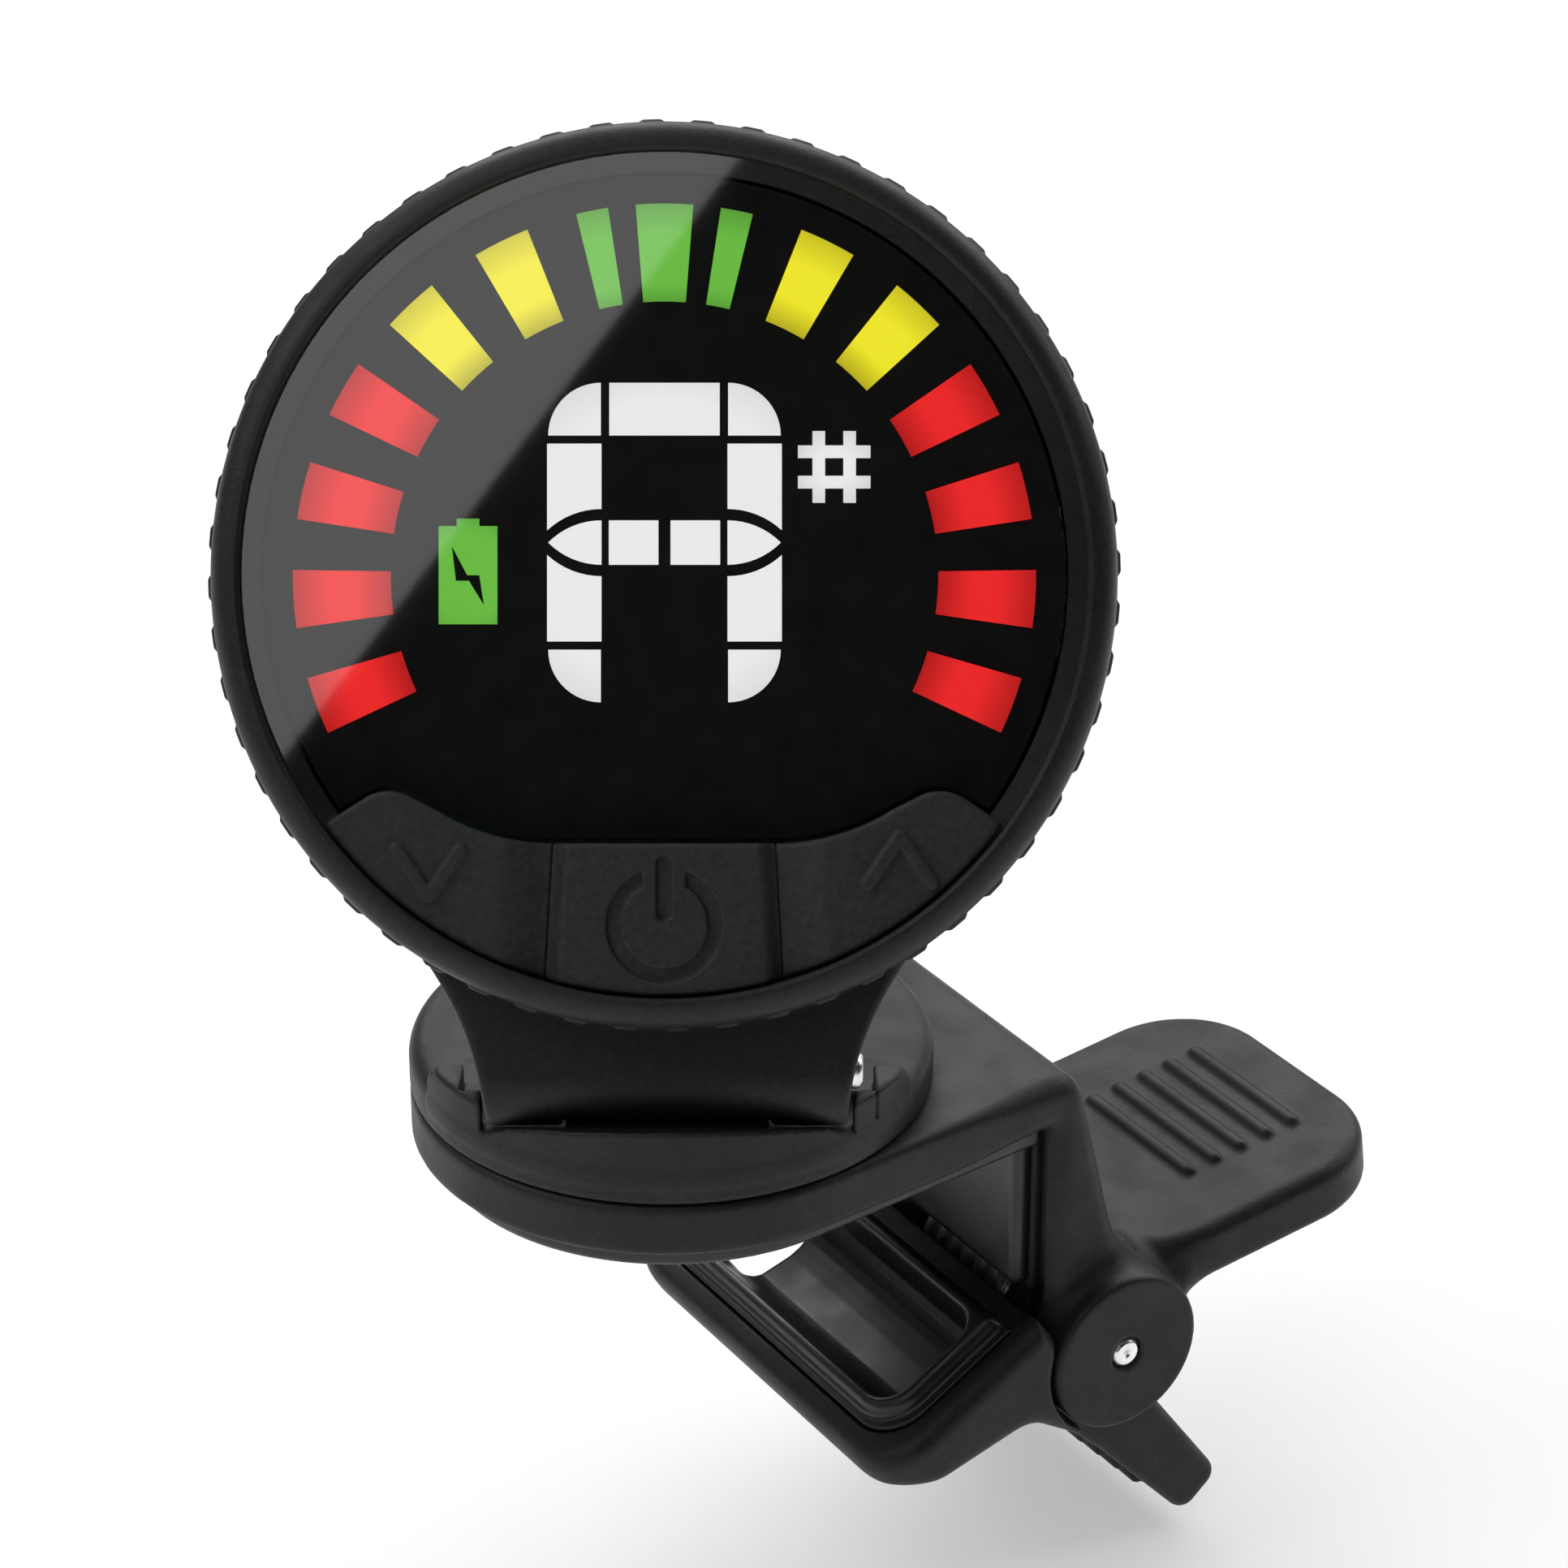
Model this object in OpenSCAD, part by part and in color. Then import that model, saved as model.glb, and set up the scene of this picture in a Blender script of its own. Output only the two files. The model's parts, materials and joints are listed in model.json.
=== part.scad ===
// Clip-on instrument tuner: a round display head on a swivel base and a sprung clip.
// X runs from the clip's mouth to its finger tabs, Y along the hinge pin, Z up the swivel axis.
// The origin is on the swivel axis, in the face of the upper pad that the headstock touches.

/* [Clip] */
// Thickness of the upper rubber pad
pad_t = 1.25; // [0.8:0.05:1.6]
// Thickness of the upper arm's plate
plate_t = 2.75; // [2.5:0.05:3.2]
// Half the width of the upper arm at its leg
leg_half_w = 11.2; // [10.8:0.1:11.8]
// Half the width of the lower jaw and of the hinge
jaw_half_w = 12.5; // [12:0.1:13]
// Distance of the hinge pin from the swivel axis
hinge_x = 18.9; // [18.7:0.1:19.1]
// Height of the hinge pin below the upper pad's face
hinge_drop = 12.05; // [11.9:0.05:12.2]
// Radius of the hinge bosses
boss_r = 4.3; // [4.2:0.05:4.4]
// Radius of the hinge pin
pin_r = 0.85; // [0.75:0.05:0.95]
// Slope of the lower jaw's paddle, tip down
paddle_slope = 30.8; // [29:0.1:32]
// Half the width of the upper finger tab
tab_half_w = 9.2; // [8.5:0.1:9.5]
// Slope of the upper finger tab, end up
tab_slope = 7.6; // [6:0.1:9]

/* [Swivel base] */
// Radius of the turret and of the plate under it
turret_r = 12.8; // [12.5:0.1:13]
// Height of the turret above the plate
turret_h = 2.4; // [2.2:0.1:2.6]
// Height of the raised block at the turret's front
block_h = 1.17; // [1:0.01:1.3]
// Turn of the head about the swivel axis, as modelled
head_yaw = -32; // [-40:1:-20]

/* [Head] */
// Lean of the display back from upright, as modelled
head_lean = 26.7; // [20:0.1:35]
// Outer radius of the knurled bezel ring
bezel_r = 21; // [20.8:0.1:21.2]
// Radius of the round window in the bezel
window_r = 19.4; // [19.2:0.05:19.5]
// Number of knurls round the bezel
knurls = 56; // [48:1:64]
// Depth of the knurls
knurl_depth = 0.18; // [0.1:0.01:0.25]
// Height of the head's centre above the tilt axis
head_rise = 23.05; // [22.8:0.05:23.3]
// Radius of the rear shell
shell_r = 20.3; // [20:0.1:20.4]
// Wall of the rear shell
shell_wall = 1.2; // [1:0.1:1.4]

/* [Hidden] */
$fn = 96;
eps = 0.01;

black = [0.13, 0.13, 0.14];
rubber_black = [0.09, 0.09, 0.1];
steel = [0.8, 0.8, 0.82];

hinge_z = -hinge_drop;
plate_top = pad_t + plate_t;
swivel_gap = 0.12;
turret_z = plate_top + swivel_gap;
turret_top = turret_z + turret_h - swivel_gap;

// Upper arm
leg_in_x = 15.1;
leg_top_x = 17.2;
leg_low_x = 19.3;
leg_low_z = -5;
tab_root_x = 24.3;
tab_root_z = -9.55;
tab_end_x = 38.8;
tab_t = 3.1;
tab_corner_r = 5.5;
rib_count = 5;
rib_pitch = 1.7;
rib_h = 0.3;
boss_in_y = 9.3;
cavity_r = 4.2;
sweep_r = 5.6;

// Swivel joint
stub_r = 2.6;
counterbore_r = 5;
counterbore_h = 1.3;
washer_t = 0.4;

// Lower jaw, in its own frame: x towards the hinge, z square to the paddle
paddle_top = 5.48;
tip_x = -14.2;
tip_corner_r = 3.4;
knuckle_in_y = 6.6;
knuckle_out_y = 9.1;
knuckle_r = 3.5;
jaw_pad_tip_x = -12.33;
jaw_pad_root_x = -3.9;
jaw_pad_half_w = 11.25;
jaw_pad_corner_r = 2.6;
bead_h = 0.75;
coil_wire_r = 0.52;
coil_r = 2.65;
coil_turns = 7;
coil_start_y = -5.8;
coil_pitch = 1.14;

// Tilt joint, in the turned turret's frame
tilt_y = -8;
tilt_z = plate_top + 4.65;
tilt_pin_r = 0.9;
barrel_r = 2.6;
lug_r = 1.7;
lug_half_w = 4.75;
stem_front = 0.9;
ear_in = 4.9;
neck_half_w = 8.5;

// Head, in its own frame: x right, y up the display, z out of the display
bezel_front = 6.5;
bezel_back = 2.8;
lens_front = 5.9;
lens_back = 4.9;
mask_front = 4.75;
mask_back = 3.6;
segment_t = 0.1;
key_back = 5.2;
key_front = 6.15;
key_gap = 0.12;
shell_back = -3.6;
meter_out_r = 17.1;
meter_in_r = 12.6;
board_back = 1.7;
board_t = 0.9;
socket_z = 0.1;
screw_x = 5.8;
screw_y = -14.8;
key_x = [-10, 0, 10];
key_y = [-13.3, -15.7, -13.3];

function arc(cx, cy, r, a0, a1, n) =
    [for (i = [0 : n]) [cx + r * cos(a0 + (a1 - a0) * i / n), cy + r * sin(a0 + (a1 - a0) * i / n)]];

// Extrudes an x-z outline along Y, centred
module along_y(w) {
    rotate([90, 0, 0])
        linear_extrude(height = w, center = true)
            children();
}

// A cylinder along Y at a place in x-z
module y_rod(r, w, x = 0, y = 0, z = 0) {
    translate([x, y, z])
        rotate([90, 0, 0])
            cylinder(r = r, h = w, center = true);
}

// A cylinder along X through the tilt axis
module x_rod(r, w, x = 0) {
    translate([x, 0, 0])
        rotate([0, 90, 0])
            cylinder(r = r, h = w, center = true);
}

module both_sides() {
    children();
    mirror([0, 1, 0])
        children();
}

module jaw_frame() {
    translate([hinge_x, 0, hinge_z])
        rotate([0, -paddle_slope, 0])
            children();
}

module turret_frame() {
    rotate([0, 0, head_yaw])
        children();
}

module tilt_frame() {
    turret_frame()
        translate([0, tilt_y, tilt_z])
            rotate([90 - head_lean, 0, 0])
                children();
}

module head_frame() {
    tilt_frame()
        translate([0, head_rise, 0])
            children();
}

// ---- Clip ----

// Plan of the plate: a disc drawn out to the straight edge of the leg
module plate_plan(r, half_w, end_x) {
    reach = sqrt(end_x * end_x + half_w * half_w);
    touch = atan2(half_w, end_x) + acos(r / reach);
    circle(r = r);
    polygon([
        [0, 0], [r * cos(touch), r * sin(touch)], [end_x, half_w],
        [end_x, -half_w], [r * cos(touch), -r * sin(touch)]
    ]);
}

// Side outline of the leg, from the plate down to the hinge and the tab's root
module leg_outline() {
    polygon(concat(
        [[leg_in_x - 1, plate_top]],
        arc(leg_top_x - 1.45, plate_top - 1.4, 1.4, 90, 15, 6),
        [[leg_low_x, leg_low_z]],
        arc(tab_root_x - 0.35, -4.45, 4.9, 195, 268, 8),
        [[tab_root_x, tab_root_z], [tab_root_x + 0.4, tab_root_z - tab_t]],
        [[hinge_x + 3.6, hinge_z - 1.6], [hinge_x, hinge_z]],
        [[hinge_x - boss_r, hinge_z], [leg_in_x, hinge_z + 3.2], [leg_in_x, pad_t]],
        [[leg_in_x - 1, pad_t]]
    ));
}

// Plan of the finger tab, from its root to its rounded end
module tab_plan(length) {
    polygon(concat(
        [[0, -tab_half_w]],
        arc(length - tab_corner_r, tab_corner_r - tab_half_w, tab_corner_r, -90, 0, 12),
        arc(length - tab_corner_r, tab_half_w - tab_corner_r, tab_corner_r, 0, 90, 12),
        [[0, tab_half_w]]
    ));
}

module finger_tab() {
    start = 2.5;
    length = (tab_end_x - tab_root_x) / cos(tab_slope) + start;
    translate([tab_root_x, 0, tab_root_z])
        rotate([0, -tab_slope, 0]) {
            translate([-start, 0, -tab_t])
                linear_extrude(height = tab_t)
                    tab_plan(length);
            for (i = [0 : rib_count - 1])
                translate([4.6 + i * rib_pitch, 0, 0])
                    intersection() {
                        y_rod(0.45, 9.6);
                        translate([-1, -5, -0.2])
                            cube([2, 10, 0.2 + rib_h]);
                    }
        }
}

module upper_arm() {
    color(black)
        difference() {
            union() {
                translate([0, 0, pad_t])
                    linear_extrude(height = plate_t)
                        plate_plan(turret_r, leg_half_w, leg_in_x + 0.6);
                along_y(2 * leg_half_w)
                    leg_outline();
                both_sides()
                    y_rod(boss_r, jaw_half_w - boss_in_y, hinge_x, (jaw_half_w + boss_in_y) / 2, hinge_z);
                finger_tab();
            }
            // Room for the spring and the jaw's knuckles
            y_rod(cavity_r, 2 * boss_in_y, hinge_x, 0, hinge_z);
            intersection() {
                y_rod(sweep_r, 2 * boss_in_y, hinge_x, 0, hinge_z);
                translate([hinge_x - 8, -boss_in_y, hinge_z - 8])
                    cube([16, 2 * boss_in_y, 8]);
            }
            translate([leg_in_x - 4, -boss_in_y, hinge_z - 1])
                cube([4.6, 2 * boss_in_y, 4.15]);
            // Grooves beside the pad's upright part
            both_sides()
                translate([leg_in_x - 1, 9.55, hinge_z + 1])
                    cube([1.8, 0.8, pad_t - hinge_z - 2]);
            y_rod(pin_r, 40, hinge_x, 0, hinge_z);
            cylinder(r = stub_r + 0.05, h = 12);
            cylinder(r = counterbore_r, h = pad_t + counterbore_h);
        }
}

module upper_pad() {
    color(rubber_black)
        union() {
            linear_extrude(height = pad_t)
                plate_plan(turret_r - 1.2, 9.5, leg_in_x);
            translate([leg_in_x - 1, -9.5, hinge_z + 3.75])
                cube([1, 19, -hinge_z - 3.75 + eps]);
        }
}

// Trough across the paddle that seats a rounded headstock edge
module trough_outline(grow) {
    polygon(concat(
        [[-10.7 - grow, paddle_top + 2]],
        arc(-8.6, 5.3, 2.1 + grow, 180, 250, 5),
        arc(-7.9, 5.9, 2.95 + grow, 262, 310, 5),
        [[-4.9 + grow, 5.9], [-4.9 + grow, paddle_top + 2]]
    ));
}

module jaw_outline() {
    polygon(concat(
        [[-3.4, paddle_top]],
        arc(tip_x + 1.3, paddle_top - 1.3, 1.3, 90, 200, 7),
        [[-11.6, 2.2], [-8.3, 1.3], [-6.3, 0.8]],
        arc(-6.6, -0.6, 1.4, 70, 10, 4),
        [[-4.2, -2.2], [-2.2, 0], [-3.2, 3]]
    ));
}

module jaw_plan(half_w, x0, x1, r) {
    polygon(concat(
        arc(x0 + r, half_w - r, r, 90, 180, 10),
        arc(x0 + r, r - half_w, r, 180, 270, 10),
        [[x1, -half_w], [x1, half_w]]
    ));
}

// Finger lever under the hinge, in x-z about the pin at rest
module lever_outline() {
    polygon(concat(
        [[-5.2, -2.6], [-4.2, -4.4], [-1.1, -6.25], [1.6, -8.85], [6.3, -13.95]],
        arc(8.1, -13.7, 1.3, 220, 340, 6),
        [[9.1, -12.45], [4.7, -6.4], [3, -2.2], [0, 0], [-3, 0]]
    ));
}

module lower_jaw() {
    color(black)
        difference() {
            union() {
                jaw_frame()
                    intersection() {
                        along_y(2 * jaw_half_w)
                            jaw_outline();
                        translate([0, 0, -5])
                            linear_extrude(height = 15)
                                jaw_plan(jaw_half_w, tip_x, 0, tip_corner_r);
                    }
                translate([hinge_x, 0, hinge_z]) {
                    along_y(2 * knuckle_out_y)
                        lever_outline();
                    y_rod(knuckle_r, 2 * knuckle_out_y);
                    for (i = [0 : 3])
                        translate([2.7 + i * 1.2, 0, -10.05 - i * 1.3])
                            y_rod(0.45, 12);
                }
            }
            // Clears the bosses of the upper arm
            both_sides()
                y_rod(boss_r + 0.3, 8, hinge_x, knuckle_out_y + 4, hinge_z);
            // Room for the spring
            y_rod(3.7, 2 * knuckle_in_y, hinge_x, 0, hinge_z);
            translate([hinge_x - 3.6, -knuckle_in_y, hinge_z])
                cube([8.6, 2 * knuckle_in_y, 5]);
            y_rod(pin_r + 0.05, 40, hinge_x, 0, hinge_z);
            jaw_frame() {
                // Seat of the rubber pad
                translate([0, 0, 4.4])
                    linear_extrude(height = 5)
                        jaw_plan(jaw_pad_half_w + 0.1, jaw_pad_tip_x - 0.1, 0, jaw_pad_corner_r);
                translate([0, -0.75, 0])
                    along_y(18.6)
                        trough_outline(0.55);
                // Window at the far end of the trough
                translate([-10.5, 5.9, 0])
                    cube([5.7, 4, 6]);
                translate([-10.5, 5.9, 0])
                    cube([5.7, 7.7, 4.1]);
            }
        }
}

module lower_pad() {
    color(rubber_black)
        jaw_frame()
            difference() {
                union() {
                    translate([0, 0, 4.45])
                        linear_extrude(height = paddle_top - 4.45)
                            jaw_plan(jaw_pad_half_w, jaw_pad_tip_x, jaw_pad_root_x, jaw_pad_corner_r);
                    // Raised bead inside the edge
                    translate([0, 0, paddle_top - eps])
                        linear_extrude(height = bead_h)
                            jaw_plan(jaw_pad_half_w - 0.9, jaw_pad_tip_x + 0.8, jaw_pad_root_x - 0.1, 2.2);
                    translate([0, -0.75, 0])
                        along_y(18.4)
                            intersection() {
                                trough_outline(0.5);
                                translate([-12, 0])
                                    square([10, paddle_top - 0.3]);
                            }
                }
                translate([0, -0.8, 0])
                    along_y(17)
                        trough_outline(0);
                translate([-10.4, 5.95, 0])
                    cube([5.5, 3.9, 8]);
            }
}

module hinge_pin() {
    end = jaw_half_w + 0.3;
    color(steel)
        translate([hinge_x, 0, hinge_z])
            rotate([90, 0, 0])
                rotate_extrude()
                    polygon([
                        [0, -end], [pin_r - 0.25, -end], [pin_r, -end + 0.25],
                        [pin_r, end - 0.25], [pin_r - 0.25, end], [0, end]
                    ]);
}

// Point on the spring's centre line; s runs from 0 to 1
function coil_point(s) =
    let (a = 150 + 360 * coil_turns * s)
    [coil_r * cos(a), coil_start_y + coil_pitch * coil_turns * s, coil_r * sin(a)];

module torsion_spring() {
    steps = 20 * coil_turns;
    sides = 8;
    centre = [for (i = [0 : steps]) coil_point(i / steps)];
    ring = [for (i = [0 : steps]) for (k = [0 : sides - 1])
        let (
            a = 150 + 360 * coil_turns * i / steps,
            b = 360 * k / sides,
            out = [cos(a), 0, sin(a)]
        )
        centre[i] + coil_wire_r * (out * cos(b) + [0, 1, 0] * sin(b))];
    wall = [for (i = [0 : steps - 1]) for (k = [0 : sides - 1])
        [i * sides + k, i * sides + (k + 1) % sides,
         (i + 1) * sides + (k + 1) % sides, (i + 1) * sides + k]];
    cap0 = [[for (k = [0 : sides - 1]) sides - 1 - k]];
    cap1 = [[for (k = [0 : sides - 1]) steps * sides + k]];
    color(steel)
        translate([hinge_x, 0, hinge_z])
            polyhedron(points = ring, faces = concat(wall, cap0, cap1));
}

// ---- Swivel base ----

// Front view of the raised block with its concave ends
module block_outline() {
    polygon(concat(
        arc(12.6, turret_top + 1.25, 1.25, 270, 200, 6),
        arc(10.9, turret_top + block_h - 0.3, 0.3, 20, 90, 3),
        arc(-10.9, turret_top + block_h - 0.3, 0.3, 90, 160, 3),
        arc(-12.6, turret_top + 1.25, 1.25, -20, -90, 6),
        [[-12.6, turret_top - 1], [12.6, turret_top - 1]]
    ));
}

module turret() {
    edge_r = 0.45;
    lip_half_w = neck_half_w + 0.25;
    color(black)
        turret_frame()
            difference() {
                union() {
                    difference() {
                        union() {
                            rotate_extrude()
                                polygon(concat(
                                    [[0, turret_z], [turret_r - 0.2, turret_z], [turret_r, turret_z + 0.2]],
                                    arc(turret_r - edge_r, turret_top - edge_r, edge_r, 0, 90, 5),
                                    [[0, turret_top]]
                                ));
                            intersection() {
                                translate([0, 0, turret_top - 1])
                                    cylinder(r = turret_r, h = 5);
                                union() {
                                    translate([0, -9.4, 0])
                                        along_y(8)
                                            block_outline();
                                    front_lip(lip_half_w);
                                }
                            }
                        }
                        turret_cuts(lip_half_w);
                    }
                    translate([0, 0, plate_top - 1.5])
                        cylinder(r = stub_r, h = 2);
                    translate([0, tilt_y, tilt_z])
                        x_rod(lug_r, 2 * lug_half_w);
                    translate([-lug_half_w, tilt_y - stem_front, turret_top - 1.5])
                        cube([2 * lug_half_w, lug_r + stem_front, tilt_z - turret_top + 1.5]);
                }
                translate([0, tilt_y, tilt_z])
                    x_rod(tilt_pin_r + 0.04, 30);
                cylinder(r = 0.7, h = 5.5);
            }
}

// In front of the neck, up to a slope level with the barrel's lower edge
module front_lip(half_w) {
    translate([0, tilt_y, tilt_z])
        rotate([90 - head_lean, 0, 0])
            translate([-half_w, -barrel_r - 6.03, 0])
                cube([2 * half_w, 6, 12]);
}

module turret_cuts(half_w) {
    flare_half_w = lug_half_w + 5;
    // Cradle for the barrel of the neck
    translate([0, tilt_y, tilt_z])
        x_rod(barrel_r + 0.3, 2 * half_w);
    // Wider behind, where the neck flares
    intersection() {
        translate([0, tilt_y, tilt_z])
            x_rod(barrel_r + 0.3, 2 * flare_half_w);
        translate([-flare_half_w, tilt_y, turret_z])
            cube([2 * flare_half_w, 6, 9]);
    }
    // Room for the back of the neck as the head leans back
    translate([-flare_half_w, tilt_y + lug_r, turret_top])
        cube([2 * flare_half_w, 3, 2]);
    translate([0, tilt_y, tilt_z])
        rotate([90 - head_lean, 0, 0])
            translate([-half_w, -barrel_r - 0.03, -1])
                cube([2 * half_w, 8, 12]);
}

module swivel_washer() {
    color(steel)
        turret_frame()
            translate([0, 0, plate_top - 1.5 - washer_t])
                difference() {
                    cylinder(r = 4.5, h = washer_t);
                    translate([0, 0, -1])
                        cylinder(r = 0.8, h = 3);
                }
}

module swivel_screw() {
    head_top = plate_top - 1.5 - washer_t;
    color(steel)
        turret_frame()
            difference() {
                union() {
                    translate([0, 0, head_top - 0.7])
                        cylinder(r = 1.8, h = 0.7);
                    translate([0, 0, head_top - eps])
                        cylinder(r = 0.7, h = 3);
                }
                // Cross recess
                for (a = [0, 90])
                    rotate([0, 0, a])
                        translate([-1, -0.18, head_top - 1])
                            cube([2, 0.36, 0.7]);
            }
}

// One end stands proud of the neck, the other lies inside it
module tilt_pin() {
    start = -neck_half_w + 0.2;
    end = neck_half_w + 0.7;
    color(steel)
        tilt_frame()
            rotate([0, 90, 0])
                rotate_extrude()
                    polygon([
                        [0, start], [tilt_pin_r - 0.2, start], [tilt_pin_r, start + 0.2],
                        [tilt_pin_r, end - 0.2], [tilt_pin_r - 0.2, end], [0, end]
                    ]);
}

// ---- Head ----

// Flared front view of the neck, y measured up from the tilt axis
module neck_outline() {
    low = -barrel_r;
    high = 7.5;
    steps = 12;
    polygon(concat(
        [for (i = [0 : steps]) let (y = low + (high - low) * i / steps)
            [neck_half_w + 0.044 * (y - low) * (y - low), y]],
        [for (i = [steps : -1 : 0]) let (y = low + (high - low) * i / steps)
            [-neck_half_w - 0.044 * (y - low) * (y - low), y]]
    ));
}

module neck_block() {
    intersection() {
        translate([0, 0, -4])
            linear_extrude(height = 8)
                neck_outline();
        union() {
            x_rod(barrel_r, 40);
            translate([-20, 0, -barrel_r])
                cube([40, 7.5, 2 * barrel_r]);
        }
    }
}

module rear_shell() {
    corner = 2.6;
    color(black)
        difference() {
            union() {
                head_frame()
                    rotate_extrude()
                        polygon(concat(
                            [[0, bezel_back], [shell_r, bezel_back]],
                            arc(shell_r - corner, shell_back + corner, corner, 0, -90, 8),
                            [[0, shell_back]]
                        ));
                tilt_frame()
                    neck_block();
            }
            head_frame()
                difference() {
                    union() {
                        translate([0, 0, shell_back + shell_wall])
                            cylinder(r = shell_r - shell_wall - 0.8, h = 10);
                        translate([0, 0, shell_back + corner])
                            cylinder(r = shell_r - shell_wall, h = 10);
                    }
                    // Posts that carry the circuit board
                    board_screw_places()
                        translate([0, 0, shell_back])
                            cylinder(r = 1.5, h = board_back - 0.02 - shell_back);
                }
            head_frame()
                board_screw_places()
                    translate([0, 0, -0.6])
                        cylinder(r = 0.7, h = 9);
            // Slot for the turret's lug
            tilt_frame() {
                x_rod(lug_r + 0.2, 2 * ear_in);
                translate([-ear_in, -barrel_r - 1, -8])
                    cube([2 * ear_in, barrel_r + 2.9, 8]);
                translate([-ear_in, -barrel_r - 1, -1])
                    cube([2 * ear_in, barrel_r + 1, stem_front + 1.2]);
                x_rod(tilt_pin_r, 40);
            }
            // Mouth of the charging socket
            head_frame()
                translate([shell_r - 3, -4.7, socket_z - 1.8])
                    cube([6, 9.4, 3.6]);
        }
}

function knurl_radius(a) = bezel_r - knurl_depth * (1 - abs(cos(a * knurls / 2)));

module bezel_ring() {
    steps = knurls * 6;
    color(black)
        head_frame()
            difference() {
                intersection() {
                    translate([0, 0, bezel_back])
                        linear_extrude(height = bezel_front - bezel_back)
                            polygon([for (i = [0 : steps - 1]) let (a = 360 * i / steps)
                                [knurl_radius(a) * cos(a), knurl_radius(a) * sin(a)]]);
                    rotate_extrude()
                        polygon(concat(
                            [[0, bezel_back], [bezel_r - 0.4, bezel_back], [bezel_r + 0.1, bezel_back + 0.5]],
                            arc(bezel_r - 1.1, bezel_front - 1.2, 1.2, 0, 90, 6),
                            [[0, bezel_front]]
                        ));
                }
                translate([0, 0, lens_back - 0.05])
                    cylinder(r = window_r, h = 5);
                translate([0, 0, 0])
                    cylinder(r = window_r - 0.8, h = 10);
            }
}

key_edge_end = [16.2, -11.71];

// Edge between the lens and the keys; x is mirrored
function key_edge() = concat(
    arc(5.1, -2.2, 10, -90, -57.7, 6),
    arc(12.62, -11.96, 2.15, 122.3, 57.4, 6),
    [key_edge_end]
);

module above_keys(gap) {
    edge = key_edge();
    end_y = key_edge_end[1] + gap;
    polygon(concat(
        [for (p = edge) [p[0], p[1] + gap]],
        [[25, end_y], [25, 25], [-25, 25], [-25, end_y]],
        [for (i = [len(edge) - 1 : -1 : 0]) [-edge[i][0], edge[i][1] + gap]]
    ));
}

// A disc of the display, cut off above the keys
module display_disc(r, z0, z1, gap) {
    translate([0, 0, z0])
        linear_extrude(height = z1 - z0)
            intersection() {
                circle(r = r);
                above_keys(gap);
            }
}

module display_lens() {
    color([0.05, 0.05, 0.06])
        head_frame()
            display_disc(window_r - 0.08, lens_back, lens_front, 0.08);
}

module display_mask() {
    color([0.02, 0.02, 0.02])
        head_frame()
            display_disc(window_r - 1, mask_back, mask_front - segment_t, 0.1);
}

// One meter bar; a is clockwise from the top, w its angular width
module meter_bar(a, w) {
    translate([0, 0, mask_front - segment_t])
        linear_extrude(height = segment_t)
            rotate(-a)
                polygon(concat(
                    arc(0, 0, meter_out_r, 90 - w / 2, 90 + w / 2, 4),
                    arc(0, 0, meter_in_r, 90 + w / 2, 90 - w / 2, 4)
                ));
}

module meter_red() {
    color([0.93, 0.17, 0.17])
        head_frame()
            for (side = [-1, 1])
                for (i = [0 : 3])
                    meter_bar(side * (59.9 + 16.9 * i), 9);
}

module meter_yellow() {
    color([0.95, 0.92, 0.2])
        head_frame()
            for (side = [-1, 1])
                for (i = [0 : 1])
                    meter_bar(side * (26.1 + 17.1 * i), 8.9);
}

module meter_green() {
    color([0.42, 0.75, 0.28])
        head_frame() {
            meter_bar(0, 8.9);
            meter_bar(11.25, 5);
            meter_bar(-11.25, 5);
        }
}

// A quarter disc with square sides, for the corners of the note
module corner_segment(r) {
    intersection() {
        circle(r = r);
        square([r, r]);
    }
}

// Right half of the letter display; the left half is its mirror image
module note_half() {
    translate([2.93, 6.43])
        corner_segment(2.42);
    translate([2.9, 0])
        difference() {
            translate([0, 1.95])
                square([2.5, 4.1]);
            translate([0, 1.5])
                pointed_oval(3.0, 1.55);
        }
    translate([2.9, 0])
        difference() {
            translate([0, -3.05])
                square([2.5, 4.25]);
            translate([0, 1.5])
                pointed_oval(3.0, 1.55);
        }
    translate([2.9, 1.5])
        intersection() {
            pointed_oval(2.45, 1.02);
            square([4, 4], center = false);
        }
    translate([2.9, 1.5])
        mirror([0, 1])
            intersection() {
                pointed_oval(2.45, 1.02);
                square([4, 4], center = false);
            }
    translate([0.28, 0.48])
        square([2.28, 2.04]);
    translate([2.93, -3.43])
        mirror([0, 1])
            corner_segment(2.42);
}

// A pointed oval cut by two arcs, its tips on the x axis
module pointed_oval(half_len, half_h) {
    r = (half_len * half_len + half_h * half_h) / (2 * half_h);
    intersection() {
        translate([0, half_h - r])
            circle(r = r);
        translate([0, r - half_h])
            circle(r = r);
    }
}

module note_segments() {
    color([0.93, 0.93, 0.93])
        head_frame()
            translate([0, 0, mask_front - segment_t])
                linear_extrude(height = segment_t) {
                    note_half();
                    mirror([1, 0])
                        note_half();
                    translate([-2.54, 6.43])
                        square([5.08, 2.42]);
                }
}

module sharp_segment() {
    bar = 0.58;
    color([0.93, 0.93, 0.93])
        head_frame()
            translate([7.81, 4.98, mask_front - segment_t])
                linear_extrude(height = segment_t)
                    for (k = [-1, 1]) {
                        translate([k * 0.71 - bar / 2, -1.65])
                            square([bar, 3.3]);
                        translate([-1.67, k * 0.7 - bar / 2])
                            square([3.34, bar]);
                    }
}

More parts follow.
